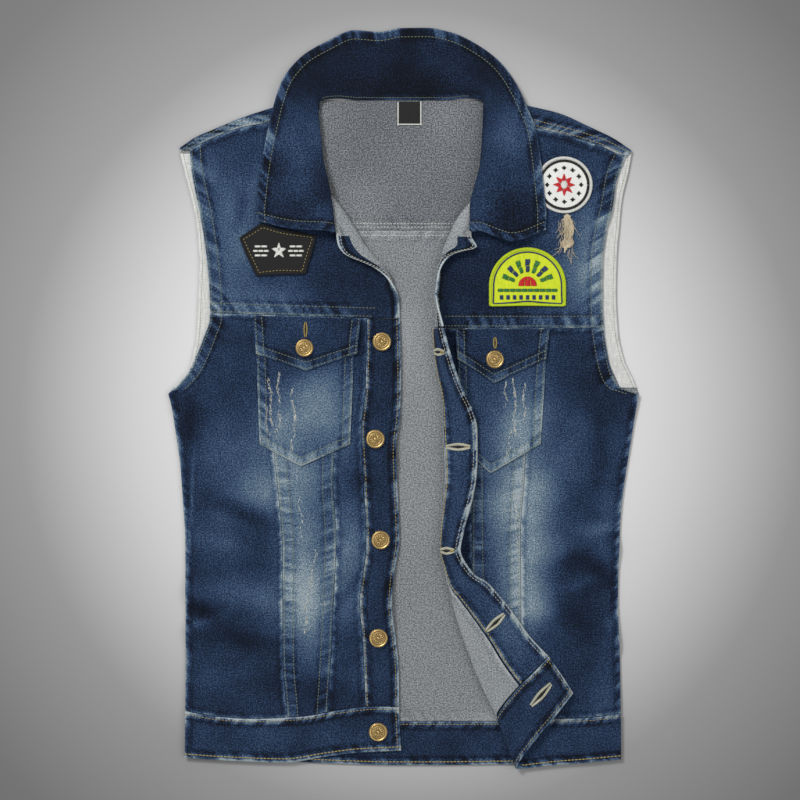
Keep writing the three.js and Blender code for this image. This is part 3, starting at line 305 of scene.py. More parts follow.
COLLAR = table("seamX seamY rollX rollY edgeX edgeY bow rise fold", [
    (-72, 164, -69, 165, -145.6, 177, -3, 15.2, 1), (-77, 179, -70.5, 183, -146.6, 187, 0, 15.2, 1),
    (-83, 197, -73.5, 204, -145, 204, 0, 14.6, 1), (-84.5, 213, -77, 222, -143, 222, 0, 11.6, 1),
    (-85.5, 229, -80.3, 238, -140.5, 240, 0, 8.2, 1), (-86, 247, -82.4, 256, -137, 259, 0, 7.3, 1),
    (-86.5, 264, -84.4, 272, -132.5, 280, 0, 7, 0.95), (-87, 281, -86, 288, -127, 301, 0, 6.6, 0.75),
    (-86.5, 292.6, -85, 301, -119.6, 320, 0, 6.4, 0.45), (-79, 298.4, -78.5, 305, -101.5, 342, 0, 4.6, 0.2),
    (-64, 300, -64, 307, -76, 357.4, 0, 2.4, 0.05), (-44, 298.4, -44, 308, -49, 368.4, 0, 1.7, 0),
    (-22, 298.4, -22, 308, -24, 366.8, 0, 1.5, 0), (0, 298.4, 0, 308, 0, 370.6, 0, 1.5, 0),
    (22, 298.4, 22, 308, 24, 370.8, 0, 1.5, 0), (44, 298.4, 44, 308, 49, 366, 0, 1.7, 0),
    (62, 300, 62, 307, 76, 353, 0, 2.4, 0.05), (76, 298.4, 76, 305, 98, 335.5, 0, 4.6, 0.2),
    (82.5, 292.6, 81.5, 300, 112, 316, 0, 6.4, 0.45), (82.5, 280, 81.4, 286, 123, 293, 0, 6.6, 0.75),
    (82, 262, 80.6, 268, 133, 268, 0, 7, 0.95), (81.5, 243, 79.6, 250, 137, 244, 0, 7.4, 1),
    (81.5, 224, 77.4, 230, 139.5, 222, 0, 8.8, 1), (82.5, 204, 71, 208, 141.3, 202, 0, 12, 1),
    (80, 187, 67.6, 190, 143, 184, -3, 13.8, 1), (72, 165.4, 67.6, 166, 142.4, 168, -11, 14.4, 1),
])
BUTTONS = table("x y", [
    (-21.1, 56.3), (-27.7, -41), (-22.4, -142), (-24.6, -240), (-24.9, -334),
])
PENTAGON_PATCH = table("x y", [
    (-86, 162), (-143, 174), (-163.5, 160), (-157, 143), (-147, 122), (-97, 124),
])

POCKET_BUTTONS = table("x y", [(-98.4, 50), (91.7, 38.5)])
ROUND_PATCH = (161, 213, 28.5)
NECK_LABEL = (-6, 19, 273, 297)

# Paler places of the wash on the fronts, with darker places where creases and hollows take painted shade and
# paler ones where ridges take painted light: middle, half widths across and along, turn in degrees, strength

FADES_AND_PAINTED_LIGHT = table("x y across along turn amount", [
    (-122, -30, 24, 34, 0, 0.3), (-80, -8, 30, 36, 0, 0.38), (-104, -76, 36, 30, 0, 0.28),
    (-102, -128, 30, 44, 0, 0.24), (-97, -204, 25, 50, 4, 0.55), (-54, -165, 18, 56, 0, 0.32),
    (-172, -70, 40, 56, 0, 0.17), (-170, 174, 36, 44, 20, 0.2), (-174, 114, 26, 34, 0, 0.14),
    (116, -30, 28, 44, 0, 0.35), (118, -112, 34, 46, 0, 0.5), (120, -195, 24, 46, -8, 0.48),
    (190, 140, 26, 58, 0, 0.3), (176, 108, 40, 30, 0, 0.18), (168, -60, 30, 56, 0, 0.08),
    (208, -140, 18, 34, 0, 0.16), (204, -286, 20, 34, 0, 0.14), (-196, -150, 22, 40, 0, 0.08),
    (-166, -242, 42, 34, 10, -0.08), (176, -212, 34, 56, 0, -0.06), (60, 112, 66, 44, 0, -0.16),
    (-100, -296, 50, 20, 0, -0.1), (-40, 112, 40, 34, 0, -0.12), (-196, 70, 20, 34, 0, -0.06),
    (190, 20, 34, 34, 0, -0.06), (-70, 190, 26, 90, 0, -0.1), (-208, -40, 14, 40, 0, -0.1),
    (-113, 98, 34, 22, 0, 0.1), (-203, -160, 24, 30, 0, -0.08), (-212.5, -122, 1.4, 84, -3, 0.22),
    (-143, -92, 22, 20, 0, 0.16), (-164, -113, 30, 9, -26, -0.2), (-174, -147, 26, 9, -16, 0.11),
    (-214, -24, 9, 26, 0, -0.14), (-46, -84, 14, 20, 0, -0.14), (-60, -47, 12, 22, 0, 0.08),
    (174, -186, 26, 7, 20, 0.15), (174, -222, 27, 15, -20, -0.14), (209, -226, 7, 11, 0, 0.14),
    (197, -131, 18, 6, 4, 0.14), (168, -162, 16, 8, 30, -0.14), (140, -204, 18, 28, -12, 0.1),
    (-160, 190, 9, 34, -22, -0.16), (-150, 206, 8, 32, -10, 0.16), (-196, 226, 13, 14, 0, 0.1),
    (-202, -213, 17, 8, -30, -0.24), (-52, -190, 6, 30, -38, -0.18), (196, -172, 22, 8, -40, -0.14),
    (-158, -196, 46, 17, -8, 0.13), (-138, -206, 22, 24, 0, 0.1), (-202, -225, 15, 4, 14, 0.16),
    (-150, -243, 32, 9, -8, -0.12), (136, -90, 20, 16, 0, 0.12), (140, -153, 18, 14, 0, 0.14),
    (142, -212, 22, 12, 0, 0.12), (208, -143, 7, 16, 0, -0.14), (197, -55, 9, 28, 0, -0.12),
    (-163, 158, 12, 34, 16, 0.1), (-196, 148, 14, 40, 8, -0.1), (-140, 96, 36, 14, -6, 0.08),
])

# Places where the cloth is rubbed to its white threads: both ends, width and strength

SCRATCHES = table("x1 y1 x2 y2 width amount", [
    (-134, 22, -131, -28, 1.5, 0.7), (-125, 26, -124, -8, 1.1, 0.6), (-122, -12, -126, -40, 1.8, 0.6),
    (-111, 14, -108, -34, 1.3, 0.65), (-108, -30, -112, -52, 1.6, 0.45), (-138, -6, -134, -44, 1.2, 0.4),
    (111, 20, 112, -38, 1.4, 0.65), (121, 14, 121, -24, 1.2, 0.55), (102, 16, 103, -10, 1.0, 0.5),
    (108, -30, 104, -58, 1.7, 0.45), (-94, -180, -98, -236, 1.6, 0.5), (-88, -150, -92, -196, 1.2, 0.35),
    (112, -90, 114, -150, 1.4, 0.3), (-104, -96, -101, -140, 1.2, 0.3),
])


# Curves and fields

def mix(a: Grid | float, b: Grid | float, t: Grid | float) -> Grid | float:
    """Gives the value a share t of the way from a to b."""
    return a + (b - a) * t


def smooth(t: Grid | float) -> Grid | float:
    """Eases a share in and out, held between 0 and 1."""
    t = np.clip(t, 0.0, 1.0)
    return t * t * (3 - 2 * t)


def bell(distance: Grid, width: float) -> Grid:
    """Falls off softly from 1 as a distance grows past a width."""
    return np.exp(-((distance / width) ** 2))


class Curve:
    """A smooth curve without overshoot through points."""

    def __init__(self, at: Grid, value: Grid) -> None:
        """Takes the points that the curve passes.

        Args:
            at: where the points are along the curve's axis.
            value: the curve's height at each of them.
        """
        order = np.argsort(at)
        self.at, self.value = at[order], value[order]
        rises = np.diff(self.value) / np.diff(self.at)
        before, after = rises[:-1], rises[1:]
        alike = before * after > 0
        inner = np.where(alike, 2 * before * after / np.where(alike, before + after, 1.0), 0.0)
        self.slopes = np.concatenate([rises[:1], inner, rises[-1:]])

    def __call__(self, where: Grid | float) -> Grid:
        """Gives the curve's height.

        Args:
            where: places along the curve's axis.

        Returns:
            The height at each place.
        """
        where = np.clip(where, self.at[0], self.at[-1])
        i = np.clip(np.searchsorted(self.at, where, side="right") - 1, 0, len(self.at) - 2)
        span = self.at[i + 1] - self.at[i]
        t = (where - self.at[i]) / span
        start = (1 + 2 * t) * (1 - t) ** 2 * self.value[i] + t * (1 - t) ** 2 * span * self.slopes[i]
        end = t * t * (3 - 2 * t) * self.value[i + 1] + t * t * (t - 1) * span * self.slopes[i + 1]
        return start + end


def curve(rows: Table, key: str, value: str) -> Curve:
    """Makes a smooth curve from two columns of a table."""
    return Curve(rows[key], rows[value])


def straight(rows: Table, key: str, value: str) -> Line:
    """Makes a line of straight stretches from two columns of a table."""
    order = np.argsort(rows[key])
    return lambda at: np.interp(at, rows[key][order], rows[value][order])


def rows_at(rows: Table, where: Grid, key: str | None = None) -> Table:
    """Reads all the columns of a table between its rows, by a key column or else by row number."""
    at = rows[key] if key else np.arange(len(next(iter(rows.values()))), dtype=float)
    return {name: Curve(at, column)(where) for name, column in rows.items()}


def noise(x: Grid, y: Grid, size: float, seed: int) -> Grid:
    """Gives soft random hills between -1 and 1.

    Args:
        x: places across.
        y: places along.
        size: the distance between hills.
        seed: which set of hills.

    Returns:
        The hills' height at each place.
    """
    lattice = np.random.default_rng(seed).uniform(-1, 1, (64, 64))
    u, v = x / size, y / size
    i, j = np.floor(u).astype(int), np.floor(v).astype(int)
    s, t = smooth(u - i), smooth(v - j)
    low = mix(lattice[i % 64, j % 64], lattice[(i + 1) % 64, j % 64], s)
    high = mix(lattice[i % 64, (j + 1) % 64], lattice[(i + 1) % 64, (j + 1) % 64], s)
    return mix(low, high, t)


def along_segments(x: Grid, y: Grid, rows: Table, value: str) -> Grid:
    """Adds up soft ridges along the straight segments of a table.

    Args:
        x: places across.
        y: places along.
        rows: a table of segments x1 y1 x2 y2 with a width.
        value: the column that says how strong each ridge is.

    Returns:
        The sum of the ridges at each place.
    """
    total = np.zeros(np.broadcast(x, y).shape)
    for x1, y1, x2, y2, width, strength in zip(*(rows[n] for n in ("x1", "y1", "x2", "y2", "width", value))):
        dx, dy = x2 - x1, y2 - y1
        share = np.clip(((x - x1) * dx + (y - y1) * dy) / (dx * dx + dy * dy), 0, 1)
        away = np.hypot(x - x1 - share * dx, y - y1 - share * dy)
        total += strength * bell(away, width)
    return total


def fade_and_painted_light(x: Grid, y: Grid) -> Grid:
    """Says how much paler the wash has made the fronts at each place, with the painted shade of creases and
    the painted light of ridges added.

    Args:
        x: places across.
        y: places along.

    Returns:
        The wash's strength at each place, with that painted light and shade.
    """
    total = np.zeros(np.broadcast(x, y).shape)
    for cx, cy, across, along, turn, amount in zip(*FADES_AND_PAINTED_LIGHT.values()):
        c, s = math.cos(math.radians(turn)), math.sin(math.radians(turn))
        u, v = ((x - cx) * c + (y - cy) * s) / across, ((y - cy) * c - (x - cx) * s) / along
        total += amount * np.exp(-((u * u + v * v) ** 1.1))
    return total


def rise_of_fronts(x: Grid, y: Grid) -> Grid:
    """Gives the height of the fronts' underside: a low puff from edge to edge, with soft folds on it.

    Args:
        x: places across.
        y: places along.

    Returns:
        The height at each place.
    """
    from_side = np.minimum(x - side_right(y), side_left(y) - x)
    from_edge = np.where(x < FRONT_SPLIT, -x, x - LEFT_LIFT)
    above_hem = smooth((y - SETTLE["bottom"]) / SETTLE["bottom_blend"])
    on_ribs = smooth((SETTLE["top"] - y) / SETTLE["top_blend"]) * above_hem
    settled = on_ribs * (1 - smooth(from_side / SETTLE["width"]))
    from_seams = smooth((y - PUFF["bottom"]) / PUFF["reach"]) * smooth((PUFF["top"] - y) / PUFF["reach"])
    puff = PUFF["height"] * from_seams * smooth(np.minimum(from_side, from_edge) / PUFF["reach"])
    folds = along_segments(x, y, FOLDS, "height") * smooth((y - FOLDS_END["level"]) / FOLDS_END["blend"])
    lifted = mix(FRONT_REST, FRONT_REST_AT_SIDE, settled) + puff + folds
    return np.maximum(lifted, mix(FRONT_REST, FRONT_REST_AT_SIDE, on_ribs))


def top_of_fronts(x: Grid, y: Grid) -> Grid:
    """Gives the height of the fronts' upper face."""
    return rise_of_fronts(x, y) + DENIM


def catmull(points: Grid, shares: Grid) -> Grid:
    """Draws a smooth curve through each row of points.

    Args:
        points: rows of points, shaped (rows, points, 3).
        shares: where to read each curve, from 0 to 1.

    Returns:
        The curves' points, shaped (rows, shares, 3).
    """
    first, last = 2 * points[:, :1] - points[:, 1:2], 2 * points[:, -1:] - points[:, -2:-1]
    all_points = np.concatenate([first, points, last], axis=1)
    place = np.clip(shares, 0, 1) * (points.shape[1] - 1)
    i = np.minimum(np.floor(place).astype(int), points.shape[1] - 2)
    t = (place - i)[None, :, None]
    a, b, c, d = (all_points[:, i + step] for step in range(4))
    sides = ((a, b), (b, c), (c, d))
    ab, bc, cd = (np.maximum(np.linalg.norm(q - p, axis=-1, keepdims=True) ** 0.5, 1e-3) for p, q in sides)
    start = ((b - a) / ab - (c - a) / (ab + bc) + (c - b) / bc) * bc
    end = ((c - b) / bc - (d - b) / (bc + cd) + (d - c) / cd) * bc
    return b + start * t + (3 * (c - b) - 2 * start - end) * t**2 + (2 * (b - c) + start + end) * t**3


def below_arm(side: Line, armhole: Line) -> Line:
    """Joins a side edge to the armhole's edge above it."""
    return lambda y: np.where(y > UNDERARM, armhole(y), side(y))


side_right, side_left = curve(SIDE_RIGHT, "y", "x"), curve(SIDE_LEFT, "y", "x")
armhole_back_right = curve(ARMHOLE_BACK_RIGHT, "y", "x")
armhole_back_left = curve(ARMHOLE_BACK_LEFT, "y", "x")
armhole_front_right = curve(ARMHOLE_FRONT_RIGHT, "y", "x")
armhole_front_left = curve(ARMHOLE_FRONT_LEFT, "y", "x")
chest_right, chest_left = curve(CHEST_SEAM_RIGHT, "x", "y"), curve(CHEST_SEAM_LEFT, "x", "y")
band_seam_right, band_seam_left = curve(BAND_SEAM_RIGHT, "x", "y"), curve(BAND_SEAM_LEFT, "x", "y")
shoulder_right, shoulder_left = curve(SHOULDER_RIGHT, "x", "y"), curve(SHOULDER_LEFT, "x", "y")
shoulder_seam_right = curve(SHOULDER_SEAM_RIGHT, "x", "y")
shoulder_seam_left = curve(SHOULDER_SEAM_LEFT, "x", "y")


# Meshes, stitches and cloth

class Edge(Enum):
    """The four edges of a piece's grid."""

    LEFT = "left"
    RIGHT = "right"
    BOTTOM = "bottom"
    TOP = "top"


class Face(Enum):
    """The two faces of a cloth."""

    OUTSIDE = 1
    INSIDE = -1


class Thread(Enum):
    """The sewing threads, by the name of their finish."""

    GOLD = "thread_gold"
    PALE = "thread_pale"
    ECRU = "thread_ecru"
    WHITE = "thread_white"
    BLACK = "thread_black"
    RED = "thread_red"
    LIME = "thread_lime"
    NAVY = "thread_navy"
    GREEN = "thread_green"
    FRAYED = "frayed_cotton"


def add_mesh(
    name: str,
    points: Grid,
    faces: list[list[int]],
    materials: Sequence[Material],
    face_material: Sequence[int] | None = None,
    uv: Grid | None = None,
    attributes: dict[str, Grid] | None = None,
) -> bpy.types.Object:
    """Makes a smooth-shaded mesh object that rides on the vest.

    Args:
        name: the piece's name.
        points: its points in millimetres, shaped (points, 3).
        faces: the point numbers of each face.
        materials: the materials of its slots.
        face_material: which slot each face takes, or None for the first.
        uv: flat cloth coordinates of each point in millimetres.
        attributes: a number at each point, by name.

    Returns:
        The object, linked to the scene.
    """
    mesh = bpy.data.meshes.new(name)
    mesh.from_pydata((points * METRE).tolist(), [], faces)
    for material in materials:
        mesh.materials.append(material)
    if face_material is not None:
        mesh.polygons.foreach_set("material_index", np.array(face_material, np.int32))
    mesh.polygons.foreach_set("use_smooth", np.ones(len(faces), bool))
    if uv is not None:
        corners = np.empty(len(mesh.loops), np.int32)
        mesh.loops.foreach_get("vertex_index", corners)
        mesh.uv_layers.new(name="cloth").data.foreach_set("uv", (uv * METRE)[corners].ravel())
    for label, values in (attributes or {}).items():
        shade = mesh.attributes.new(label, "FLOAT", "POINT")
        shade.data.foreach_set("value", values.astype(np.float32).ravel())
    mesh.update()
    made = bpy.data.objects.new(name, mesh)
    bpy.context.scene.collection.objects.link(made)
    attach(made, "root")
    return made


def unit(vectors: Grid) -> Grid:
    """Scales vectors to a length of one."""
    return vectors / np.maximum(np.linalg.norm(vectors, axis=-1, keepdims=True), TINY)


def spaced(path: Grid, normals: Grid, pitch: float) -> tuple[Grid, Grid, Grid]:
    """Places points at even distances along a path.

    Args:
        path: the path's points.
        normals: the surface's normal at each of them.
        pitch: the distance between the placed points.

    Returns:
        The placed points, the path's direction and the surface's normal there.
    """
    run = np.concatenate([[0], np.cumsum(np.linalg.norm(np.diff(path, axis=0), axis=1))])
    places = np.arange(pitch / 2, run[-1], pitch)

    def read(at: Grid, vectors: Grid) -> Grid:
        """Reads vectors at distances along the path."""
        return np.stack([np.interp(at, run, vectors[:, k]) for k in range(3)], axis=1)

    ahead = unit(read(places + 0.5, path) - read(places - 0.5, path))
    return read(places, path), ahead, unit(read(places, normals))


@dataclass(frozen=True)
class Stitch:
    """The size of one stitch and the distance to the next."""

    pitch: float = 3.3
    length: float = 2.7
    width: float = 0.85
    height: float = 0.7
    sink: float = 0.1


TOPSTITCH = Stitch(pitch=3.4, length=2.6, width=0.72, height=0.6)
FINE_STITCH = Stitch(pitch=2.6, length=1.9, width=0.55, height=0.45)
HEM_STITCH = Stitch(pitch=3.6, length=3.3, width=1.1, height=0.9)
SATIN_STITCH = Stitch(pitch=0.7, length=2.4, width=0.75, height=0.9)


@dataclass
class Sewing:
    """The stitches of one piece, gathered by thread into one mesh."""

    name: str
    points: list[Grid] = field(default_factory=list)
    faces: list[Grid] = field(default_factory=list)
    slots: list[Grid] = field(default_factory=list)
    threads: list[Thread] = field(default_factory=list)
    count: int = 0

    RINGS = ((-0.36, 0.75), (0.0, 1.0), (0.36, 0.75))
    SIDES = 5

    def add(
        self, middles: Grid, along: Grid, up: Grid, thread: Thread, stitch: Stitch,
        lengths: Grid | None = None,
    ) -> None:
        """Adds a bead of thread at each place.

        Args:
            middles: the places, on the cloth's surface.
            along: the direction of each bead.
            up: the surface's normal at each place.
            thread: the thread's colour.
            stitch: the bead's size.
            lengths: each bead's own length, where they differ.
        """
        if not len(middles):
            return
        if thread not in self.threads:
            self.threads.append(thread)
        across = unit(np.cross(up, along))
        lifted = middles + up * (stitch.height * 0.5 - stitch.sink)
        reach = along * (stitch.length if lengths is None else lengths[:, None])
        rings = [lifted - reach / 2 - up * stitch.height * 0.4]
        for place, size in self.RINGS:
            for side in range(self.SIDES):
                angle = 2 * math.pi * (side + 0.25) / self.SIDES
                rings.append(
                    lifted + reach * place
                    + across * (math.cos(angle) * stitch.width / 2 * size)
                    + up * (math.sin(angle) * stitch.height / 2 * size)
                )
        rings.append(lifted + reach / 2 - up * stitch.height * 0.4)
        made = np.stack(rings, axis=1)
        size = made.shape[1]
        pattern = []
        for side in range(self.SIDES):
            beside = (side + 1) % self.SIDES
            last = size - 1 - self.SIDES
            pattern += [(0, 1 + beside, 1 + side), (size - 1, last + side, last + beside)]
            for ring in range(len(self.RINGS) - 1):
                a, b = 1 + ring * self.SIDES + side, 1 + ring * self.SIDES + beside
                pattern += [(a, b, b + self.SIDES), (a, b + self.SIDES, a + self.SIDES)]
        starts = self.count + size * np.arange(len(made))[:, None, None]
        self.points.append(made.reshape(-1, 3))
        self.faces.append((np.array(pattern)[None] + starts).reshape(-1, 3))
        self.slots.append(np.full(len(pattern) * len(made), self.threads.index(thread)))
        self.count += size * len(made)

    def run(self, path: Grid, normals: Grid, thread: Thread, stitch: Stitch = TOPSTITCH) -> None:
        """Sews a row of running stitches along a line on the cloth."""
        self.add(*spaced(path, normals, stitch.pitch), thread, stitch)

    def satin(
        self, path: Grid, normals: Grid, thread: Thread, width: float, stitch: Stitch = SATIN_STITCH
    ) -> None:
        """Sews close stitches across a path, as along a buttonhole or a patch's rim.

        Args:
            path: the line that they cross.
            normals: the cloth's normal along it.
            thread: the thread's colour.
            width: how far they reach across.
            stitch: their pitch and thickness.
        """
        middles, along, up = spaced(path, normals, stitch.pitch)
        slanted = unit(np.cross(up, along) + 0.25 * along)
        self.add(middles, slanted, up, thread, replace(stitch, length=width))

    def build(self) -> bpy.types.Object | None:
        """Makes the mesh of all the stitches added so far.

        Returns:
            The mesh's object, or None where nothing is sewn.
        """
        if not self.count:
            return None
        return add_mesh(
            self.name, np.concatenate(self.points), np.concatenate(self.faces).tolist(),
            [finishes[thread.value] for thread in self.threads], np.concatenate(self.slots),
        )


@dataclass(frozen=True)
class Seam:
    """What the sewing does along one edge of a piece, in millimetres in from it."""

    edge: Edge
    rows: tuple[float, ...] = ()
    thread: Thread = Thread.GOLD
    band: float = 6.0
    raised: float = 0.35
    rope: float = 0.3
    worn: float = 0.22
    span: Span = (0.0, 1.0)
    face: Face = Face.OUTSIDE
    stitch: Stitch = TOPSTITCH
    spacing: float = 3.4
    slant: float = 0.7


@dataclass
class Cloth:
    """A piece of cloth, given as a grid of points on its middle surface."""

    name: str
    points: Grid
    thickness: float
    seams: tuple[Seam, ...] = ()
    outside: str = "denim"
    inside: str = "denim_inside"
    keep: Grid | None = None
    wash: Callable[[Grid, Grid], Grid] | float = 0.0
    crumple: float = 0.3
    plan: bool = True
    lifted: Span = (1.0, 0.0)
    rim: float = 0.5
    facing: tuple[float, float, float] | None = None
    seed: int = 1

    def __post_init__(self) -> None:
        """Measures the grid, then shapes and shades it as its seams ask."""
        p = self.points
        across = np.linalg.norm(np.diff(p, axis=1), axis=2)
        up = np.linalg.norm(np.diff(p, axis=0), axis=2)
        zero_u, zero_v = np.zeros((p.shape[0], 1)), np.zeros((1, p.shape[1]))
        left = np.concatenate([zero_u, np.cumsum(across, axis=1)], axis=1)
        bottom = np.concatenate([zero_v, np.cumsum(up, axis=0)], axis=0)
        self.away = {
            Edge.LEFT: left, Edge.RIGHT: left[:, -1:] - left,
            Edge.BOTTOM: bottom, Edge.TOP: bottom[-1:] - bottom,
        }
        along_u = np.gradient(p, axis=1)
        along_v = np.gradient(p, axis=0)
        self.normal = unit(np.cross(along_u, along_v))
        spread = np.broadcast_arrays(left.mean(axis=0), bottom.mean(axis=1)[:, None])
        self.uv = p[..., :2] if self.plan else np.stack(spread, axis=2)
        self.shape_by_seams()

    def along(self, edge: Edge) -> Grid:
        """Gives the distance run along an edge at each point of the grid."""
        return self.away[Edge.BOTTOM if edge in (Edge.LEFT, Edge.RIGHT) else Edge.LEFT]

    def shape_by_seams(self) -> None:
        """Raises doubled cloth beside the seams, puckers it, pales what is rubbed, and darkens a line just
        past each seam, partly with painted shade.
        """
        x, y = self.points[..., 0], self.points[..., 1]
        u, v = self.uv[..., 0], self.uv[..., 1]
        lift = self.crumple * (noise(u, v, 34, self.seed) + 0.5 * noise(u, v, 13, self.seed + 1))
        wash = self.wash(x, y) if callable(self.wash) else np.full(x.shape, float(self.wash))
        worn = np.zeros(x.shape)
        for number, seam in enumerate(self.seams):
            away, run = self.away[seam.edge], self.along(seam.edge)
            share = run / max(run.max(), 1e-6)
            there = smooth((share - seam.span[0]) / 0.02 + 1) * smooth((seam.span[1] - share) / 0.02 + 1)
            lane = np.full(run.shape, 7.3 * number)
            pull = noise(run + seam.slant * away, lane, seam.spacing, self.seed + 11)
            slow = noise(run, away, 21, self.seed + 12)
            on_band = 1 - smooth((away - seam.band) / 2.0)
            roping = seam.rope * pull * bell(away - seam.band * 0.6, seam.band)
            lift += there * (seam.raised * on_band + roping)
            ridge = (bell(away, 1.8) + 0.35 * on_band) * (0.75 + 0.6 * slow)
            puckers = 1.5 * pull * bell(away - seam.band * 0.55, seam.band * 0.75)
            rub = there * seam.worn
            wash += rub * (ridge + puckers)
            wash += 0.9 * rub * bell(away - 0.7, 0.7) * (0.8 + 0.5 * slow)
            # A dark line just past the raised band: partly unfaded cloth in the valley beside the seam,
            # partly painted shade.
            wash -= 0.7 * rub * bell(away - seam.band - 1.8, 1.8)
            worn += rub * bell(away, 1.1) * (0.75 + 0.6 * slow)
        self.wash_at, self.worn_at = wash, worn
        edge = np.minimum.reduce([self.away[e] for e in Edge])
        inwards = np.clip(edge / max(self.rim * self.thickness, 1e-6), 0, 1)
        half = self.thickness / 2 * (0.45 + 0.55 * np.sqrt(1 - (1 - inwards) ** 2))
        lift = lift * smooth(edge / 3 + 0.3)
        on_outer, on_inner = self.lifted
        self.outer = self.points + self.normal * (half + on_outer * lift)[..., None]
        self.inner = self.points - self.normal * (half + on_inner * lift)[..., None]
        for face in (self.outer, self.inner):
            face[..., 2] = np.maximum(face[..., 2], 0.0)

    def near(self, x: Grid, y: Grid, face: Face = Face.OUTSIDE) -> tuple[Grid, Grid]:
        """Finds the points of a face that lie under places seen from above.

        Args:
            x: the places across.
            y: the places along.
            face: the face that they lie on.

        Returns:
            The points there and their normals.
        """
        points, normals = (grid.reshape(-1, 3) for grid in self.surface(face))
        nearest = [int(np.argmin((points[:, 0] - a) ** 2 + (points[:, 1] - b) ** 2)) for a, b in zip(x, y)]
        return np.stack([x, y, points[nearest, 2]], axis=1), normals[nearest]

    def surface(self, face: Face) -> tuple[Grid, Grid]:
        """Gives the points and normals of one face."""
        return (self.outer, self.normal) if face is Face.OUTSIDE else (self.inner, -self.normal)

    def row(
        self, edge: Edge, inset: float, face: Face = Face.OUTSIDE, span: Span = (0, 1)
    ) -> tuple[Grid, Grid]:
        """Finds the line on a face that keeps a distance from an edge.

        Args:
            edge: the edge that it follows.
            inset: how far in from that edge.
            face: the face that it lies on.
            span: the shares of the edge where it starts and ends.

        Returns:
            The line's points and normals.
        """
        points, normals = self.surface(face)
        away = self.away[edge]
        if edge in (Edge.BOTTOM, Edge.TOP):
            points, normals, away = points.transpose(1, 0, 2), normals.transpose(1, 0, 2), away.T
        if edge in (Edge.RIGHT, Edge.TOP):
            points, normals, away = points[:, ::-1], normals[:, ::-1], away[:, ::-1]
        first, last = round(span[0] * (len(away) - 1)), round(span[1] * (len(away) - 1)) + 1
        rows = range(first, last)
        path = np.array([[np.interp(inset, away[r], points[r, :, k]) for k in range(3)] for r in rows])
        up = np.array([[np.interp(inset, away[r], normals[r, :, k]) for k in range(3)] for r in rows])
        return path, unit(up)

    def build(
        self, slot: str = "denim", held: str = "laid", rests_on: Sequence[str] = ()
    ) -> bpy.types.Object:
        """Makes the piece as a closed shell with its stitches, in place of its CAD node.

        Args:
            slot: not used.
            held: not used.
            rests_on: not used.

        Returns:
            The shell's object.
        """
        rows, columns = self.points.shape[:2]
        number = np.arange(rows * columns).reshape(rows, columns)
        keep = np.ones((rows - 1, columns - 1), bool) if self.keep is None else self.keep
        quads = np.stack([number[:-1, :-1], number[:-1, 1:], number[1:, 1:], number[1:, :-1]], axis=-1)
        outer, inner = quads[keep], quads[keep][:, ::-1] + rows * columns
        padded = np.pad(keep, 1)
        rims = []
        for shift, a, b in (((-1, 0), 0, 1), ((0, 1), 1, 2), ((1, 0), 2, 3), ((0, -1), 3, 0)):
            beside = np.roll(padded, (-shift[0], -shift[1]), axis=(0, 1))[1:-1, 1:-1]
            border = quads[keep & ~beside]
            a, b = border[:, a], border[:, b]
            rims.append(np.stack([a, a + rows * columns, b + rows * columns, b], axis=-1))
        rim = np.concatenate(rims)
        faces = np.concatenate([outer, inner, rim])
        inner_slots = np.ones(len(inner))
        if self.facing:
            start, end, top = self.facing
            share = np.linspace(0, 1, self.points.shape[1])
            faced = (share >= start) & (share <= end) & (self.points[..., 1] < top)
            inner_slots[faced[:-1, :-1][keep]] = 0
        slots = np.concatenate([np.zeros(len(outer)), inner_slots, np.zeros(len(rim))])
        points = np.concatenate([self.outer.reshape(-1, 3), self.inner.reshape(-1, 3)])
        used, packed = np.unique(faces, return_inverse=True)
        # The wash attribute also carries painted light and shade: crease shade and ridge light on the
        # fronts, collar shade on the back neck and the collar's stand, and the partly painted dark line
        # beside seams.
        shades = {"wash": self.wash_at, "worn": self.worn_at}
        made = add_mesh(
            self.name, points[used], packed.reshape(-1, 4).tolist(),
            [finishes[self.outside], finishes[self.inside]], slots,
            np.tile(self.uv.reshape(-1, 2), (2, 1))[used],
            {name: np.tile(values.ravel(), 2)[used] for name, values in shades.items()},
        )
        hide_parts(self.name)
        sewing = Sewing(f"{self.name}_stitches")
        for seam in self.seams:
            for inset in seam.rows:
                sewing.run(*self.row(seam.edge, inset, seam.face, seam.span), seam.thread, seam.stitch)
        sewing.build()
        stitches = sewing.count // (len(sewing.RINGS) * sewing.SIDES + 2)
        log.info("%s: %d faces, %d stitches", self.name, len(faces), stitches)
        return made


def stops(length: float, pitch: float, near: tuple[float, ...] = (0.5, 1.3, 2.6)) -> Grid:
    """Spaces shares from 0 to 1 evenly along a length, with closer ones beside both ends.

    Args:
        length: the length that they divide.
        pitch: the even distance.
        near: the distances of the closer ones from the ends.

    Returns:
        The shares in order.
    """
    count = max(3, round(length / pitch))
    even = np.linspace(0, 1, count + 1)[1:-1]
    rim = np.array(near) / length
    kept = even[(even > rim[-1] + 0.4 / count) & (even < 1 - rim[-1] - 0.4 / count)]
    return np.concatenate([[0], rim, kept, 1 - rim[::-1], [1]])


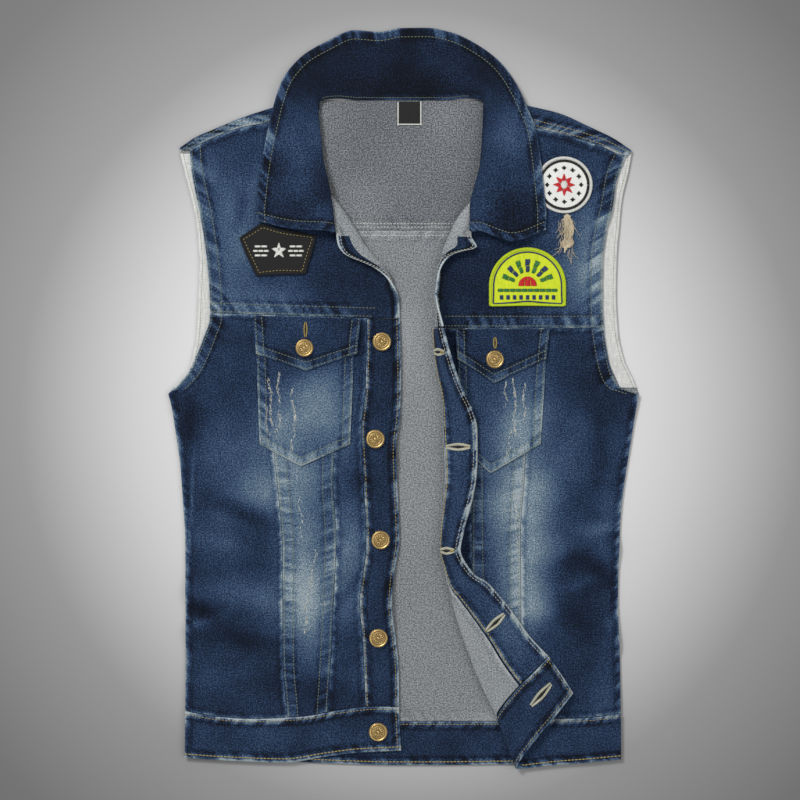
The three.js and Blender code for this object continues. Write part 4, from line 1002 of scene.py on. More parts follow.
@dataclass
class Outline:
    """The four edges of a piece that lies flat, as seen from above."""

    left: Line
    right: Line
    bottom: Line
    top: Line
    inset: float = SEAM_GAP / 2

    def at(self, u: Grid, v: Grid) -> tuple[Grid, Grid]:
        """Finds points by their shares of the way between the edges.

        Args:
            u: shares of the way from the left edge to the right.
            v: shares of the way from the bottom edge to the top.

        Returns:
            The points' places across and along.
        """
        x, y = mix(self.left(0.0 * u), self.right(0.0 * u), u), 0.0 * u
        for _ in range(PASSES):
            y = mix(self.bottom(x) + self.inset, self.top(x) - self.inset, v)
            x = mix(self.left(y) + self.inset, self.right(y) - self.inset, u)
        return x, y

    def grid(self, under: Callable[[Grid, Grid], Grid], thickness: float, pitch: float = ROW_PITCH) -> Grid:
        """Lays the piece on a surface.

        Args:
            under: the surface's height.
            thickness: the cloth's thickness.
            pitch: the distance between the grid's points.

        Returns:
            The points of its middle surface.
        """
        middle = np.array([[0.5]])
        (x0, _), (x1, _) = self.at(0 * middle, middle), self.at(0 * middle + 1, middle)
        (_, y0), (_, y1) = self.at(middle, 0 * middle), self.at(middle, 0 * middle + 1)
        u, v = np.meshgrid(stops(float(x1 - x0), pitch), stops(float(y1 - y0), pitch))
        x, y = self.at(u, v)
        return points_of(x, y, under(x, y) + thickness / 2)


def level(height: float) -> Line:
    """Makes an edge or a surface that stays at one value."""
    return lambda x, *_: np.full(np.shape(x), float(height))


# Finishes

def linear(red: int, green: int, blue: int) -> tuple[float, float, float, float]:
    """Turns a colour as it looks on a screen, from 0 to 255, into the shader's numbers."""
    shares = (red / 255, green / 255, blue / 255)
    return (*(((c + 0.055) / 1.055) ** 2.4 if c > 0.04 else c / 12.92 for c in shares), 1.0)


def spoken(inputs: dict[str, float]) -> dict[str, float]:
    """Puts spaces back into the names of inputs."""
    return {name.replace("_", " "): value for name, value in inputs.items()}


class Shader:
    """Places nodes in a node tree and joins them."""

    def __init__(self, tree: Tree) -> None:
        """Takes the tree that the nodes go into."""
        self.tree = tree
        self.placed = 0

    def feed(self, socket: Socket, value: object) -> None:
        """Gives an input its value, or joins it to an output.

        Args:
            socket: the input.
            value: a value or an output socket.
        """
        if isinstance(value, Socket):
            self.tree.links.new(value, socket)
        else:
            socket.default_value = value

    def add(self, kind: str, inputs: dict[str | int, object] | None = None, **settings: object) -> Node:
        """Places a node.

        Args:
            kind: the node's type.
            inputs: a value or an output socket for each named input.
            **settings: the node's own properties.

        Returns:
            The node.
        """
        node = self.tree.nodes.new(kind)
        node.location = (180 * (self.placed % 9), -260 * (self.placed // 9))
        self.placed += 1
        for name, value in settings.items():
            setattr(node, name, value)
        for name, value in (inputs or {}).items():
            self.feed(node.inputs[name], value)
        return node

    def math(self, operation: str, *values: object, clamp: bool = False) -> Socket:
        """Works out a sum of numbers or sockets."""
        inputs = dict(enumerate(values))
        return self.add("ShaderNodeMath", inputs, operation=operation, use_clamp=clamp).outputs[0]

    def total(self, *values: object, clamp: bool = False) -> Socket:
        """Adds up numbers or sockets."""
        first = values[0] if len(values) == 2 else self.total(*values[:-1])
        return self.math("ADD", first, values[-1], clamp=clamp)

    def around(self, value: Socket, strength: object) -> Socket:
        """Turns a value between 0 and 1 into a swing of a given strength about nothing."""
        return self.math("MULTIPLY", self.math("SUBTRACT", value, 0.5), strength)

    def blend(self, share: Socket, a: object, b: object) -> Socket:
        """Mixes two colours by a share.

        Args:
            share: how much of the second colour there is.
            a: the first colour.
            b: the second colour.

        Returns:
            The mixed colour.
        """
        node = self.add("ShaderNodeMix", {"Factor": share}, data_type="RGBA", blend_type="MIX")
        self.feed(node.inputs[6], a)
        self.feed(node.inputs[7], b)
        return node.outputs[2]

    def ramp(self, share: Socket, stops_at: Sequence[tuple[float, Tint]]) -> Socket:
        """Reads a colour ramp.

        Args:
            share: where to read it.
            stops_at: its colours and their places.

        Returns:
            The colour.
        """
        node = self.add("ShaderNodeValToRGB", {"Fac": share})
        elements = node.color_ramp.elements
        while len(elements) < len(stops_at):
            elements.new(0.5)
        for element, (place, colour) in zip(elements, stops_at):
            element.position, element.color = place, linear(*colour)
        return node.outputs["Color"]

    def place(self, cloth: bool = True) -> Socket:
        """Reads the flat cloth's own coordinates, or the object's.

        Args:
            cloth: whether they are the cloth's.

        Returns:
            The coordinates.
        """
        if cloth:
            return self.add("ShaderNodeUVMap", uv_map="cloth").outputs["UV"]
        return self.add("ShaderNodeTexCoord").outputs["Object"]

    def mapped(self, place: Socket, **changes: tuple[float, float, float]) -> Socket:
        """Moves, turns or stretches coordinates."""
        return self.add("ShaderNodeMapping", {"Vector": place, **changes}).outputs[0]

    def wave(self, place: Socket, size: Socket, distortion: float, **others: float) -> Socket:
        """Draws ribs of a size.

        Args:
            place: the coordinates.
            size: the distance between ribs, in metres.
            distortion: how wavy they are.
            **others: other inputs, with _ for each space in their names.

        Returns:
            The ribs, from 0 to 1.
        """
        scale = self.math("DIVIDE", RIBS_AT_SCALE_ONE, size)
        inputs = {"Vector": place, "Scale": scale, "Distortion": distortion, **spoken(others)}
        return self.add("ShaderNodeTexWave", inputs).outputs["Fac"]

    def noise(self, place: Socket, scale: float, detail: float, roughness: float = 0.5) -> Socket:
        """Draws soft random spots."""
        inputs = {"Vector": place, "Scale": scale, "Detail": detail, "Roughness": roughness}
        return self.add("ShaderNodeTexNoise", inputs).outputs["Fac"]

    def attribute(self, name: str) -> Socket:
        """Reads a number that the mesh carries."""
        return self.add("ShaderNodeAttribute", attribute_name=name).outputs["Fac"]

    def spread(self, value: Socket, low: float, high: float) -> Socket:
        """Stretches a range of values to 0 to 1."""
        inputs = {"Value": value, "From Min": low, "From Max": high}
        return self.add("ShaderNodeMapRange", inputs).outputs["Result"]


def node_group(name: str, inputs: dict[str, float], outputs: Sequence[str]) -> tuple[Shader, Node]:
    """Starts a shader node group.

    Args:
        name: the group's name.
        inputs: its number inputs and their usual values.
        outputs: its number outputs.

    Returns:
        A shader that places nodes in the group, and its input node.
    """
    tree = bpy.data.node_groups.new(name, "ShaderNodeTree")
    for label, value in inputs.items():
        tree.interface.new_socket(label, in_out="INPUT", socket_type="NodeSocketFloat").default_value = value
    for label in outputs:
        tree.interface.new_socket(label, in_out="OUTPUT", socket_type="NodeSocketFloat")
    shader = Shader(tree)
    return shader, shader.add("NodeGroupInput")


def twill_group() -> Tree:
    """Builds the diagonal ribs of a twill with its thick and thin yarns.

    Returns:
        A group that puts out the ribs, the yarns' unevenness, their flecks and their height.
    """
    sizes = {"Rib Size": 0.0011, "Slub": 1.0}
    shader, given = node_group("twill weave", sizes, ("Rib", "Yarn", "Fleck", "Height"))
    cloth = shader.place()
    turned = shader.mapped(cloth, Rotation=(0, 0, math.radians(-62)))
    rib = shader.wave(turned, given.outputs["Rib Size"], 1.2, Detail=1.0, Detail_Scale=2.0)
    warp = shader.noise(shader.mapped(cloth, Scale=(620, 75, 1)), 1.0, 3.0, 0.65)
    weft = shader.noise(shader.mapped(cloth, Scale=(110, 700, 1)), 1.0, 2.0, 0.6)
    fleck = shader.spread(shader.noise(cloth, 720.0, 2.0, 0.7), 0.38, 0.62)
    uneven = shader.math("MULTIPLY", shader.total(warp, shader.math("MULTIPLY", weft, 0.5)), 0.667)
    slubs = shader.math("MULTIPLY", uneven, given.outputs["Slub"])
    height = shader.total(shader.math("MULTIPLY", rib, 0.6), slubs)
    shader.add("NodeGroupOutput", {"Rib": rib, "Yarn": uneven, "Fleck": fleck, "Height": height})
    return shader.tree


def wash_group() -> Tree:
    """Builds the uneven fading of a wash over what a piece says of itself, which holds painted light and
    shade as well.

    Returns:
        A group that puts out how pale the cloth is and where it is worn through to white threads.
    """
    usual = {"Base": 0.3, "Cloudiness": 0.14, "Yarn": 0.5, "Fleck": 0.5}
    shader, given = node_group("wash, wear and painted light", usual, ("Pale", "Worn"))
    cloth = shader.place()
    cloudy = shader.around(shader.noise(cloth, 24.0, 5.0, 0.62), given.outputs["Cloudiness"])
    grainy = shader.around(given.outputs["Fleck"], 0.36)
    uneven = shader.around(given.outputs["Yarn"], 0.34)
    told = shader.total(shader.attribute("wash"), given.outputs["Base"])
    pale = shader.total(told, shader.total(cloudy, grainy, uneven), clamp=True)
    frayed = shader.total(shader.attribute("worn"), shader.around(shader.noise(cloth, 260.0, 3.0, 0.7), 0.9))
    shader.add("NodeGroupOutput", {"Pale": pale, "Worn": shader.spread(frayed, 0.22, 0.62)})
    return shader.tree


def ply_group() -> Tree:
    """Builds the slanted plies of a sewing thread.

    Returns:
        A group that puts out the plies' mask and the thread's unevenness.
    """
    shader, given = node_group("thread plies", {"Size": 0.0009}, ("Ply", "Uneven"))
    place = shader.place(cloth=False)
    ply = shader.wave(shader.mapped(place, Rotation=(0.4, 0.3, 0.7)), given.outputs["Size"], 0.6)
    shader.add("NodeGroupOutput", {"Ply": ply, "Uneven": shader.noise(place, 130.0, 2.0)})
    return shader.tree


@dataclass
class Groups:
    """The node groups that more than one finish uses."""

    twill: Tree = field(default_factory=twill_group)
    wash: Tree = field(default_factory=wash_group)
    ply: Tree = field(default_factory=ply_group)


class Surface(Shader):
    """The nodes of one material, round its Principled BSDF."""

    def __init__(self, name: str) -> None:
        """Starts a material of that name.

        Args:
            name: the material's name.
        """
        self.material = bpy.data.materials.new(name)
        self.material.use_nodes = True
        self.material.node_tree.nodes.clear()
        super().__init__(self.material.node_tree)
        self.bsdf = self.add("ShaderNodeBsdfPrincipled")
        self.add("ShaderNodeOutputMaterial", {"Surface": self.bsdf.outputs["BSDF"]})

    def dress(self, colour: Socket, roughness: object, **others: float) -> None:
        """Sets the shader's inputs, whose names take _ for each space."""
        for name, value in {"Base Color": colour, "Roughness": roughness, **spoken(others)}.items():
            self.feed(self.bsdf.inputs[name], value)

    def bump(self, height: Socket, distance: float, strength: float) -> None:
        """Feeds a height to the surface's normal."""
        node = self.add("ShaderNodeBump", {"Height": height, "Distance": distance, "Strength": strength})
        self.feed(self.bsdf.inputs["Normal"], node.outputs["Normal"])

    def group(self, tree: Tree, inputs: dict[str, object] | None = None) -> bpy.types.NodeOutputs:
        """Places a shared group and gives its outputs."""
        return self.add("ShaderNodeGroup", inputs, node_tree=tree).outputs


@dataclass(frozen=True)
class Denim:
    """Washed indigo twill, from its darkest to its palest, and its white worn threads."""

    name: str = "denim"
    base: float = 0.33
    cloudiness: float = 0.36
    tones: tuple[tuple[float, Tint], ...] = (
        (0.0, (5, 10, 20)), (0.2, (16, 27, 46)), (0.35, (31, 49, 77)), (0.5, (52, 73, 105)),
        (0.65, (78, 101, 123)), (0.82, (112, 131, 144)), (1.0, (163, 174, 179)),
    )
    worn: Tint = (188, 198, 204)

    def make(self, groups: Groups) -> Material:
        """Builds the material.

        Args:
            groups: the shared node groups.

        Returns:
            The material.
        """
        surface = Surface(self.name)
        twill = surface.group(groups.twill)
        told = {"Base": self.base, "Cloudiness": self.cloudiness}
        wash = surface.group(groups.wash, {**told, "Yarn": twill["Yarn"], "Fleck": twill["Fleck"]})
        ribs = surface.math("MULTIPLY", twill["Rib"], 0.05)
        ribbed = surface.math("SUBTRACT", wash["Pale"], ribs, clamp=True)
        colour = surface.blend(wash["Worn"], surface.ramp(ribbed, self.tones), linear(*self.worn))
        surface.dress(colour, 0.86, Sheen_Weight=0.02, Specular_IOR_Level=0.15)
        surface.bump(twill["Height"], 0.0004, 0.7)
        return surface.material


@dataclass(frozen=True)
class GreyTwill:
    """The inner side of the twill, where the undyed yarns show between the dark ones."""

    name: str = "denim_inside"
    dark: Tint = (66, 70, 76)
    pale: Tint = (176, 180, 182)

    def make(self, groups: Groups) -> Material:
        """Builds the material.

        Args:
            groups: the shared node groups.

        Returns:
            The material.
        """
        surface = Surface(self.name)
        twill = surface.group(groups.twill, {"Rib Size": 0.0013})
        fleck = surface.math("MULTIPLY", twill["Fleck"], 0.7)
        yarn = surface.math("MULTIPLY", twill["Yarn"], 0.5)
        share = surface.spread(surface.total(fleck, yarn, surface.attribute("wash")), 0.05, 1.15)
        ribs = surface.math("MULTIPLY", twill["Rib"], 0.12)
        ribbed = surface.math("SUBTRACT", share, ribs, clamp=True)
        surface.dress(surface.blend(ribbed, linear(*self.dark), linear(*self.pale)), 0.9)
        surface.bump(twill["Height"], 0.0004, 0.6)
        return surface.material


@dataclass(frozen=True)
class PlainCloth:
    """A plain woven cloth or tape of one colour."""

    name: str
    colour: Tint
    shade: Tint

    def make(self, groups: Groups) -> Material:
        """Builds the material.

        Args:
            groups: the shared node groups.

        Returns:
            The material.
        """
        surface = Surface(self.name)
        twill = surface.group(groups.twill, {"Rib Size": 0.0009})
        share = surface.spread(twill["Yarn"], 0.3, 0.7)
        surface.dress(surface.blend(share, linear(*self.shade), linear(*self.colour)), 0.85)
        surface.bump(twill["Height"], 0.00015, 0.5)
        return surface.material


@dataclass(frozen=True)
class SewingThread:
    """A glossy or matt thread of slanted plies."""

    name: str
    colour: Tint
    shade: Tint
    roughness: float = 0.6

    def make(self, groups: Groups) -> Material:
        """Builds the material.

        Args:
            groups: the shared node groups.

        Returns:
            The material.
        """
        surface = Surface(self.name)
        plies = surface.group(groups.ply)
        share = surface.math("MULTIPLY", surface.total(plies["Ply"], plies["Uneven"]), 0.6, clamp=True)
        surface.dress(surface.blend(share, linear(*self.shade), linear(*self.colour)), self.roughness)
        surface.bump(plies["Ply"], 0.0002, 0.4)
        return surface.material


@dataclass(frozen=True)
class AgedBrass:
    """Antique brass, dark in its recesses and bright where it is rubbed."""

    name: str = "aged_brass"
    bright: Tint = (214, 182, 120)
    dark: Tint = (58, 42, 22)

    def make(self, groups: Groups) -> Material:
        """Builds the material.

        Args:
            groups: the shared node groups, which brass has no use for.

        Returns:
            The material.
        """
        surface = Surface(self.name)
        patina = surface.noise(surface.place(cloth=False), 420.0, 4.0)
        share = surface.total(surface.attribute("recess"), surface.around(patina, 0.7), clamp=True)
        range_of_gloss = {"Value": share, "To Min": 0.34, "To Max": 0.68}
        rough = surface.add("ShaderNodeMapRange", range_of_gloss).outputs["Result"]
        surface.dress(surface.blend(share, linear(*self.bright), linear(*self.dark)), rough, Metallic=0.9)
        surface.bump(patina, 0.0001, 0.4)
        return surface.material


FINISHES = (
    Denim(), GreyTwill(), AgedBrass(),
    # A paler copy of the grey inside, painted light for the turned-out lapels and the rolled inner front.
    GreyTwill("denim_inside_pale", (82, 88, 94), (182, 186, 188)),
    PlainCloth("white_tape", (222, 222, 218), (172, 174, 172)),
    PlainCloth("patch_black", (13, 13, 15), (5, 5, 7)),
    PlainCloth("patch_white", (232, 232, 228), (210, 210, 206)),
    PlainCloth("patch_lime", (214, 226, 40), (180, 196, 24)),
    PlainCloth("label_black", (20, 20, 22), (10, 10, 12)),
    PlainCloth("label_cream", (222, 214, 190), (196, 188, 164)),
    SewingThread("thread_gold", (190, 170, 100), (128, 112, 60)),
    SewingThread("thread_pale", (142, 148, 116), (82, 92, 78)),
    SewingThread("thread_ecru", (208, 206, 186), (146, 146, 128)),
    SewingThread("thread_white", (232, 232, 226), (190, 190, 186)),
    SewingThread("thread_black", (14, 14, 16), (5, 5, 6), 0.5),
    SewingThread("thread_red", (214, 34, 40), (168, 18, 26), 0.45),
    SewingThread("thread_lime", (206, 226, 30), (166, 190, 14), 0.45),
    SewingThread("thread_navy", (30, 58, 110), (14, 30, 66), 0.45),
    SewingThread("thread_green", (58, 128, 62), (34, 92, 42), 0.45),
    SewingThread("frayed_cotton", (206, 192, 164), (166, 152, 124), 0.8),
)
finishes: dict[str, Material] = {}


def make_finishes() -> None:
    """Builds every finish once, over the shared node groups."""
    groups = Groups()
    finishes.update({finish.name: finish.make(groups) for finish in FINISHES})


# The vest's pieces

@dataclass
class Back:
    """The back, seen from its inner side: yoke with shoulder wraps, panel, waistband and armhole tapes."""

    pitch: float = 2.6

    def yoke_line(self, lower_x: Grid, fold: Grid, seam: Grid, outer: Line) -> Grid:
        """Draws lines of cloth from the yoke's lower seam over the shoulder to the front seam.

        Args:
            lower_x: where each line starts, across.
            fold: where each folds, across and along.
            seam: where each ends at the front seam, across and along.
            outer: the armhole's edge, which the first line follows.

        Returns:
            The lines' points, shaped (rows, lines, 3).
        """
        (fold_x, fold_y), (seam_x, seam_y) = fold, seam
        flat = stops(YOKE_LENGTH, self.pitch)[:, None]
        y = mix(BACK_YOKE_SEAM + SEAM_GAP / 2, fold_y - SHOULDER_FOLD_RADIUS, flat)
        x = mix(lower_x, fold_x, flat)
        share = np.abs(x - fold_x[-1]) / np.abs(x[:, :1] - fold_x[-1])
        level_part = points_of(mix(fold_x[-1], outer(y[:, :1]), share), y, DENIM / 2)
        turned = np.linspace(0, 1, 9)[1:, None]
        arc = points_of(
            mix(fold_x, seam_x, SHOULDER_DRIFT * turned),
            fold_y - SHOULDER_FOLD_RADIUS * (1 - np.sin(math.pi * turned)),
            DENIM / 2 + SHOULDER_FOLD_RADIUS * (1 - np.cos(math.pi * turned)),
        )
        end = points_of(seam_x, seam_y, rise_of_fronts(seam_x, seam_y) + DENIM / 2)
        wrap = mix(arc[-1], end, np.linspace(0, 1, 8)[1:, None, None])
        return np.concatenate([level_part, arc, wrap])

    def yoke(self) -> Cloth:
        """Builds the yoke, which is grey inside and shows its blue side on the shoulders.

        Returns:
            The yoke.
        """
        def shoulder(side: int, tip: float, end: float, fold: Line, seam: Line, armhole: Line) -> Grid:
            """Draws one shoulder's lines from the armhole to the neck.

            Args:
                side: -1 on the wearer's right and 1 on the left.
                tip: the fold's outer end, across.
                end: the front seam's outer end, across.
                fold: the fold's line.
                seam: the front seam's line.
                armhole: the armhole's edge.

            Returns:
                The lines' points.
            """
            neck = side * NECK_HALF_WIDTH
            share = stops(abs(tip) - NECK_HALF_WIDTH, self.pitch, (0.5, 1.4))
            fold_x, seam_x = mix(tip, neck, share), mix(end, neck, share)
            lower_x = mix(float(armhole(BACK_YOKE_SEAM)), neck, share)
            folds, seams = (fold_x, fold(fold_x)), (seam_x, seam(seam_x) + SEAM_GAP / 2)
            return self.yoke_line(lower_x, folds, seams, armhole)

        def shade(x: Grid, y: Grid) -> Grid:
            """Pales the wraps, and darkens the neck between them with painted shade from the collar."""
            return mix(-0.24, 0.1, smooth((np.abs(x) - 92) / 12)) + 0.1 * noise(x, y, 40, 5)

        right = shoulder(
            -1, *SHOULDER_TIP_RIGHT, shoulder_right, shoulder_seam_right, armhole_back_right,
        )
        left = shoulder(1, *SHOULDER_TIP_LEFT, shoulder_left, shoulder_seam_left, armhole_back_left)[:, ::-1]
        x = np.linspace(-NECK_HALF_WIDTH, NECK_HALF_WIDTH, 62)[1:-1]
        flat = stops(YOKE_LENGTH, self.pitch)
        below = mix(BACK_YOKE_SEAM + SEAM_GAP / 2, NECK_SEAM, flat)
        y = np.concatenate([below, NECK_SEAM + np.arange(1, 16.0)])
        points = np.concatenate([right, points_of(x[None], y[:, None], DENIM / 2), left], axis=1)
        keep = np.ones((points.shape[0] - 1, points.shape[1] - 1), bool)
        keep[len(flat) - 1:, right.shape[1] - 1:-left.shape[1] + 1] = False
        front = Seam(Edge.TOP, (2.0, 7.0), band=9, rope=0.4, worn=0.34, face=Face.INSIDE)
        return Cloth(
            "back_yoke", points, DENIM, outside="denim_inside", inside="denim",
            keep=keep, lifted=(0.5, 0.6), wash=shade, crumple=0.35, seed=21,
            seams=(
                Seam(Edge.BOTTOM, (3.0, 6.4), Thread.WHITE, band=9, worn=0.1),
                replace(front, thread=Thread.PALE, span=(0.0, 0.3)),
                replace(front, thread=Thread.GOLD, span=(0.7, 1.0)),
                Seam(Edge.LEFT, (), worn=0.3, band=5), Seam(Edge.RIGHT, (), worn=0.3, band=5),
            ),
        )

    def panel(self) -> Cloth:
        """Builds the panel below the yoke.

        Returns:
            The panel.
        """
        outline = Outline(
            below_arm(side_right, armhole_back_right), below_arm(side_left, armhole_back_left),
            level(BACK_BAND_SEAM), level(BACK_YOKE_SEAM),
        )
        return Cloth(
            "back_panel", outline.grid(level(0), DENIM, self.pitch), DENIM,
            outside="denim_inside", inside="denim", crumple=0.45, seed=31,
            wash=lambda x, y: 0.02 + 0.1 * noise(x, y, 60, 8) - 0.12 * smooth((y - 100) / 70),
            seams=(
                Seam(Edge.TOP, (5.0,), Thread.WHITE, band=8, worn=0.12),
                Seam(Edge.BOTTOM, band=8, worn=0.12),
            ),
        )

    def band(self) -> Cloth:
        """Builds the waistband.

        Returns:
            The waistband.
        """
        outline = Outline(side_right, side_left, curve(HEM_BACK, "x", "y"), level(BACK_BAND_SEAM))
        return Cloth(
            "back_band", outline.grid(level(0), FOLDED_DENIM, self.pitch), FOLDED_DENIM,
            inside="denim", wash=-0.02, seed=41,
            seams=(
                Seam(Edge.TOP, (2.6,), band=5, rope=0.35),
                Seam(Edge.BOTTOM, (3.4,), band=6, rope=0.4, worn=0.26, stitch=HEM_STITCH),
            ),
        )

    def tape(self, name: str, armhole: Line, side: int) -> Cloth:
        """Builds the white tape inside one armhole.

        Args:
            name: its CAD node.
            armhole: the back's edge that it follows.
            side: -1 on the wearer's right and 1 on the left.

        Returns:
            The tape.
        """
        def inner(y: Grid) -> Grid:
            """Gives the tape's inner edge."""
            return armhole(y) - side * TAPE_WIDTH

        sides = (armhole, inner) if side < 0 else (inner, armhole)
        outline = Outline(*sides, level(TAPE_FOOT), level(TAPE_TOP))
        edge = Edge.LEFT if side < 0 else Edge.RIGHT
        return Cloth(
            name, outline.grid(level(DENIM + LAYER_GAP), TAPE, 2.0), TAPE,
            outside="white_tape", inside="white_tape", crumple=0.25, seed=51 + side,
            seams=(Seam(edge, (3.0,), Thread.PALE, band=5, rope=0.3, stitch=FINE_STITCH),),
        )

    def build(self) -> None:
        """Makes the back's pieces."""
        self.yoke().build("denim_inside", "folded")
        self.panel().build("denim_inside")
        self.band().build("denim")
        for name, armhole, side in (("right", armhole_back_right, -1), ("left", armhole_back_left, 1)):
            tape = self.tape(f"armhole_tape_{name}", armhole, side)
            tape.build("white_tape", rests_on=["back_panel", "back_yoke"])


def denim_wash_and_painted_light(tone: float = 0.0) -> Callable[[Grid, Grid], Grid]:
    """Gives the fronts' wash, with the painted light and shade of their creases, and a piece's own tone
    added.
    """
    return lambda x, y: fade_and_painted_light(x, y) + tone + 0.05 * noise(x, y, 46, 3)


V_SEAM = Seam(
    Edge.LEFT, (1.6, 10.5), Thread.PALE, band=10.5, raised=0.3, rope=0.4, worn=0.14, spacing=2.6, slant=0.25,
)
V_SEAMS = V_SEAM, replace(V_SEAM, edge=Edge.RIGHT)
CHEST = Seam(Edge.TOP, band=3, worn=0.16, rope=0.25)
BAND_TOP = Seam(Edge.TOP, (2.6,), band=5, rope=0.4, worn=0.28)
BAND_HEM = Seam(Edge.BOTTOM, (4.0,), band=6, rope=0.45, worn=0.3, stitch=HEM_STITCH)


@dataclass
class FrontBody:
    """The panels of both fronts below the chest seam, apart from the left one's turned edge."""

    pitch: float = 2.3

    def lay(
        self, name: str, outline: Outline, seams: Sequence[Seam], tone: float = 0.0,
        thickness: float = DENIM, seed: int = 1,
    ) -> Cloth:
        """Lays one panel over the back.

        Args:
            name: its CAD node.
            outline: its edges.
            seams: its sewing.
            tone: how much paler than the rest it is.
            thickness: its cloth's thickness.
            seed: which crumples it has.

        Returns:
            The panel.
        """
        inside = "denim" if thickness == FOLDED_DENIM else "denim_inside"
        points = outline.grid(rise_of_fronts, thickness, self.pitch)
        return Cloth(name, points, thickness, tuple(seams), inside=inside, wash=denim_wash_and_painted_light(tone), seed=seed)

    def right(self) -> list[Cloth]:
        """Lays the right front's panels.

        Returns:
            The panels.
        """
        outer_v, inner_v = curve(OUTER_V_RIGHT, "y", "x"), curve(INNER_V_RIGHT, "y", "x")
        strip, edge = curve(STRIP_SEAM_RIGHT, "y", "x"), curve(FRONT_EDGE_RIGHT, "y", "x")
        ends = band_seam_right, chest_right
        return [
            self.side_front("right", below_arm(side_right, armhole_front_right), outer_v, ends, 0.8, 61),
            self.lay("v_panel_right", Outline(outer_v, inner_v, *ends), (*V_SEAMS, CHEST), 0.04, seed=62),
            self.lay("inner_front_right", Outline(inner_v, strip, *ends), (
                Seam(Edge.LEFT, band=3, worn=0.14, raised=0.0),
                Seam(Edge.RIGHT, band=3, worn=0.12, raised=0.0),
                CHEST,
            ), seed=63),
            self.lay("button_strip", Outline(strip, edge, *ends), (
                Seam(Edge.LEFT, (2.0,), band=4, rope=0.4, worn=0.24),
                Seam(Edge.RIGHT, (3.2,), band=5, rope=0.5, worn=0.3),
            ), -0.03, FOLDED_DENIM, seed=64),
            self.lay(
                "front_band_right", Outline(side_right, edge, curve(HEM_RIGHT, "x", "y"), band_seam_right),
                (
                    BAND_TOP, BAND_HEM,
                    Seam(Edge.RIGHT, (3.4,), band=5, worn=0.3), Seam(Edge.LEFT, band=4, worn=0.2),
                ),
                0.02, FOLDED_DENIM, seed=65,
            ),
        ]

    def side_front(
        self, side: str, arm: Line, outer_v: Line, ends: tuple[Line, Line], armhole: float, seed: int
    ) -> Cloth:
        """Lays the panel under one arm.

        Args:
            side: the wearer's side.
            arm: its edge from the waistband up the side and the armhole.
            outer_v: its seam to the V panel.
            ends: its seams below and above.
            armhole: the share of the edge where the armhole starts.
            seed: which crumples it has.

        Returns:
            The panel.
        """
        near, far = (Edge.LEFT, Edge.RIGHT) if side == "right" else (Edge.RIGHT, Edge.LEFT)
        sides = (arm, outer_v) if side == "right" else (outer_v, arm)
        return self.lay(f"side_front_{side}", Outline(*sides, *ends), (
            Seam(near, (2.2, 11.5), Thread.PALE, band=12, worn=0.2, span=(armhole, 1.0)),
            Seam(near, band=4, worn=0.2, rope=0.2, raised=0.0, span=(0.0, armhole)),
            Seam(far, band=3, worn=0.16, raised=0.0), CHEST,
            Seam(Edge.BOTTOM, band=3, worn=0.14, raised=0.0),
        ), seed=seed)

    def left(self) -> list[Cloth]:
        """Lays the left front's panels.

        Returns:
            The panels.
        """
        outer_v, inner_v = curve(OUTER_V_LEFT, "y", "x"), curve(INNER_V_LEFT, "y", "x")
        ends = band_seam_left, chest_left
        return [
            self.side_front("left", below_arm(side_left, armhole_front_left), outer_v, ends, 0.82, 71),
            self.lay("v_panel_left", Outline(inner_v, outer_v, *ends), (*V_SEAMS, CHEST), 0.05, seed=72),
        ]

    def build(self) -> None:
        """Makes the panels."""
        for cloth in (*self.right(), *self.left()):
            bands = ["back_band"] if "band" in cloth.name else []
            cloth.build(rests_on=["back_panel", *bands])


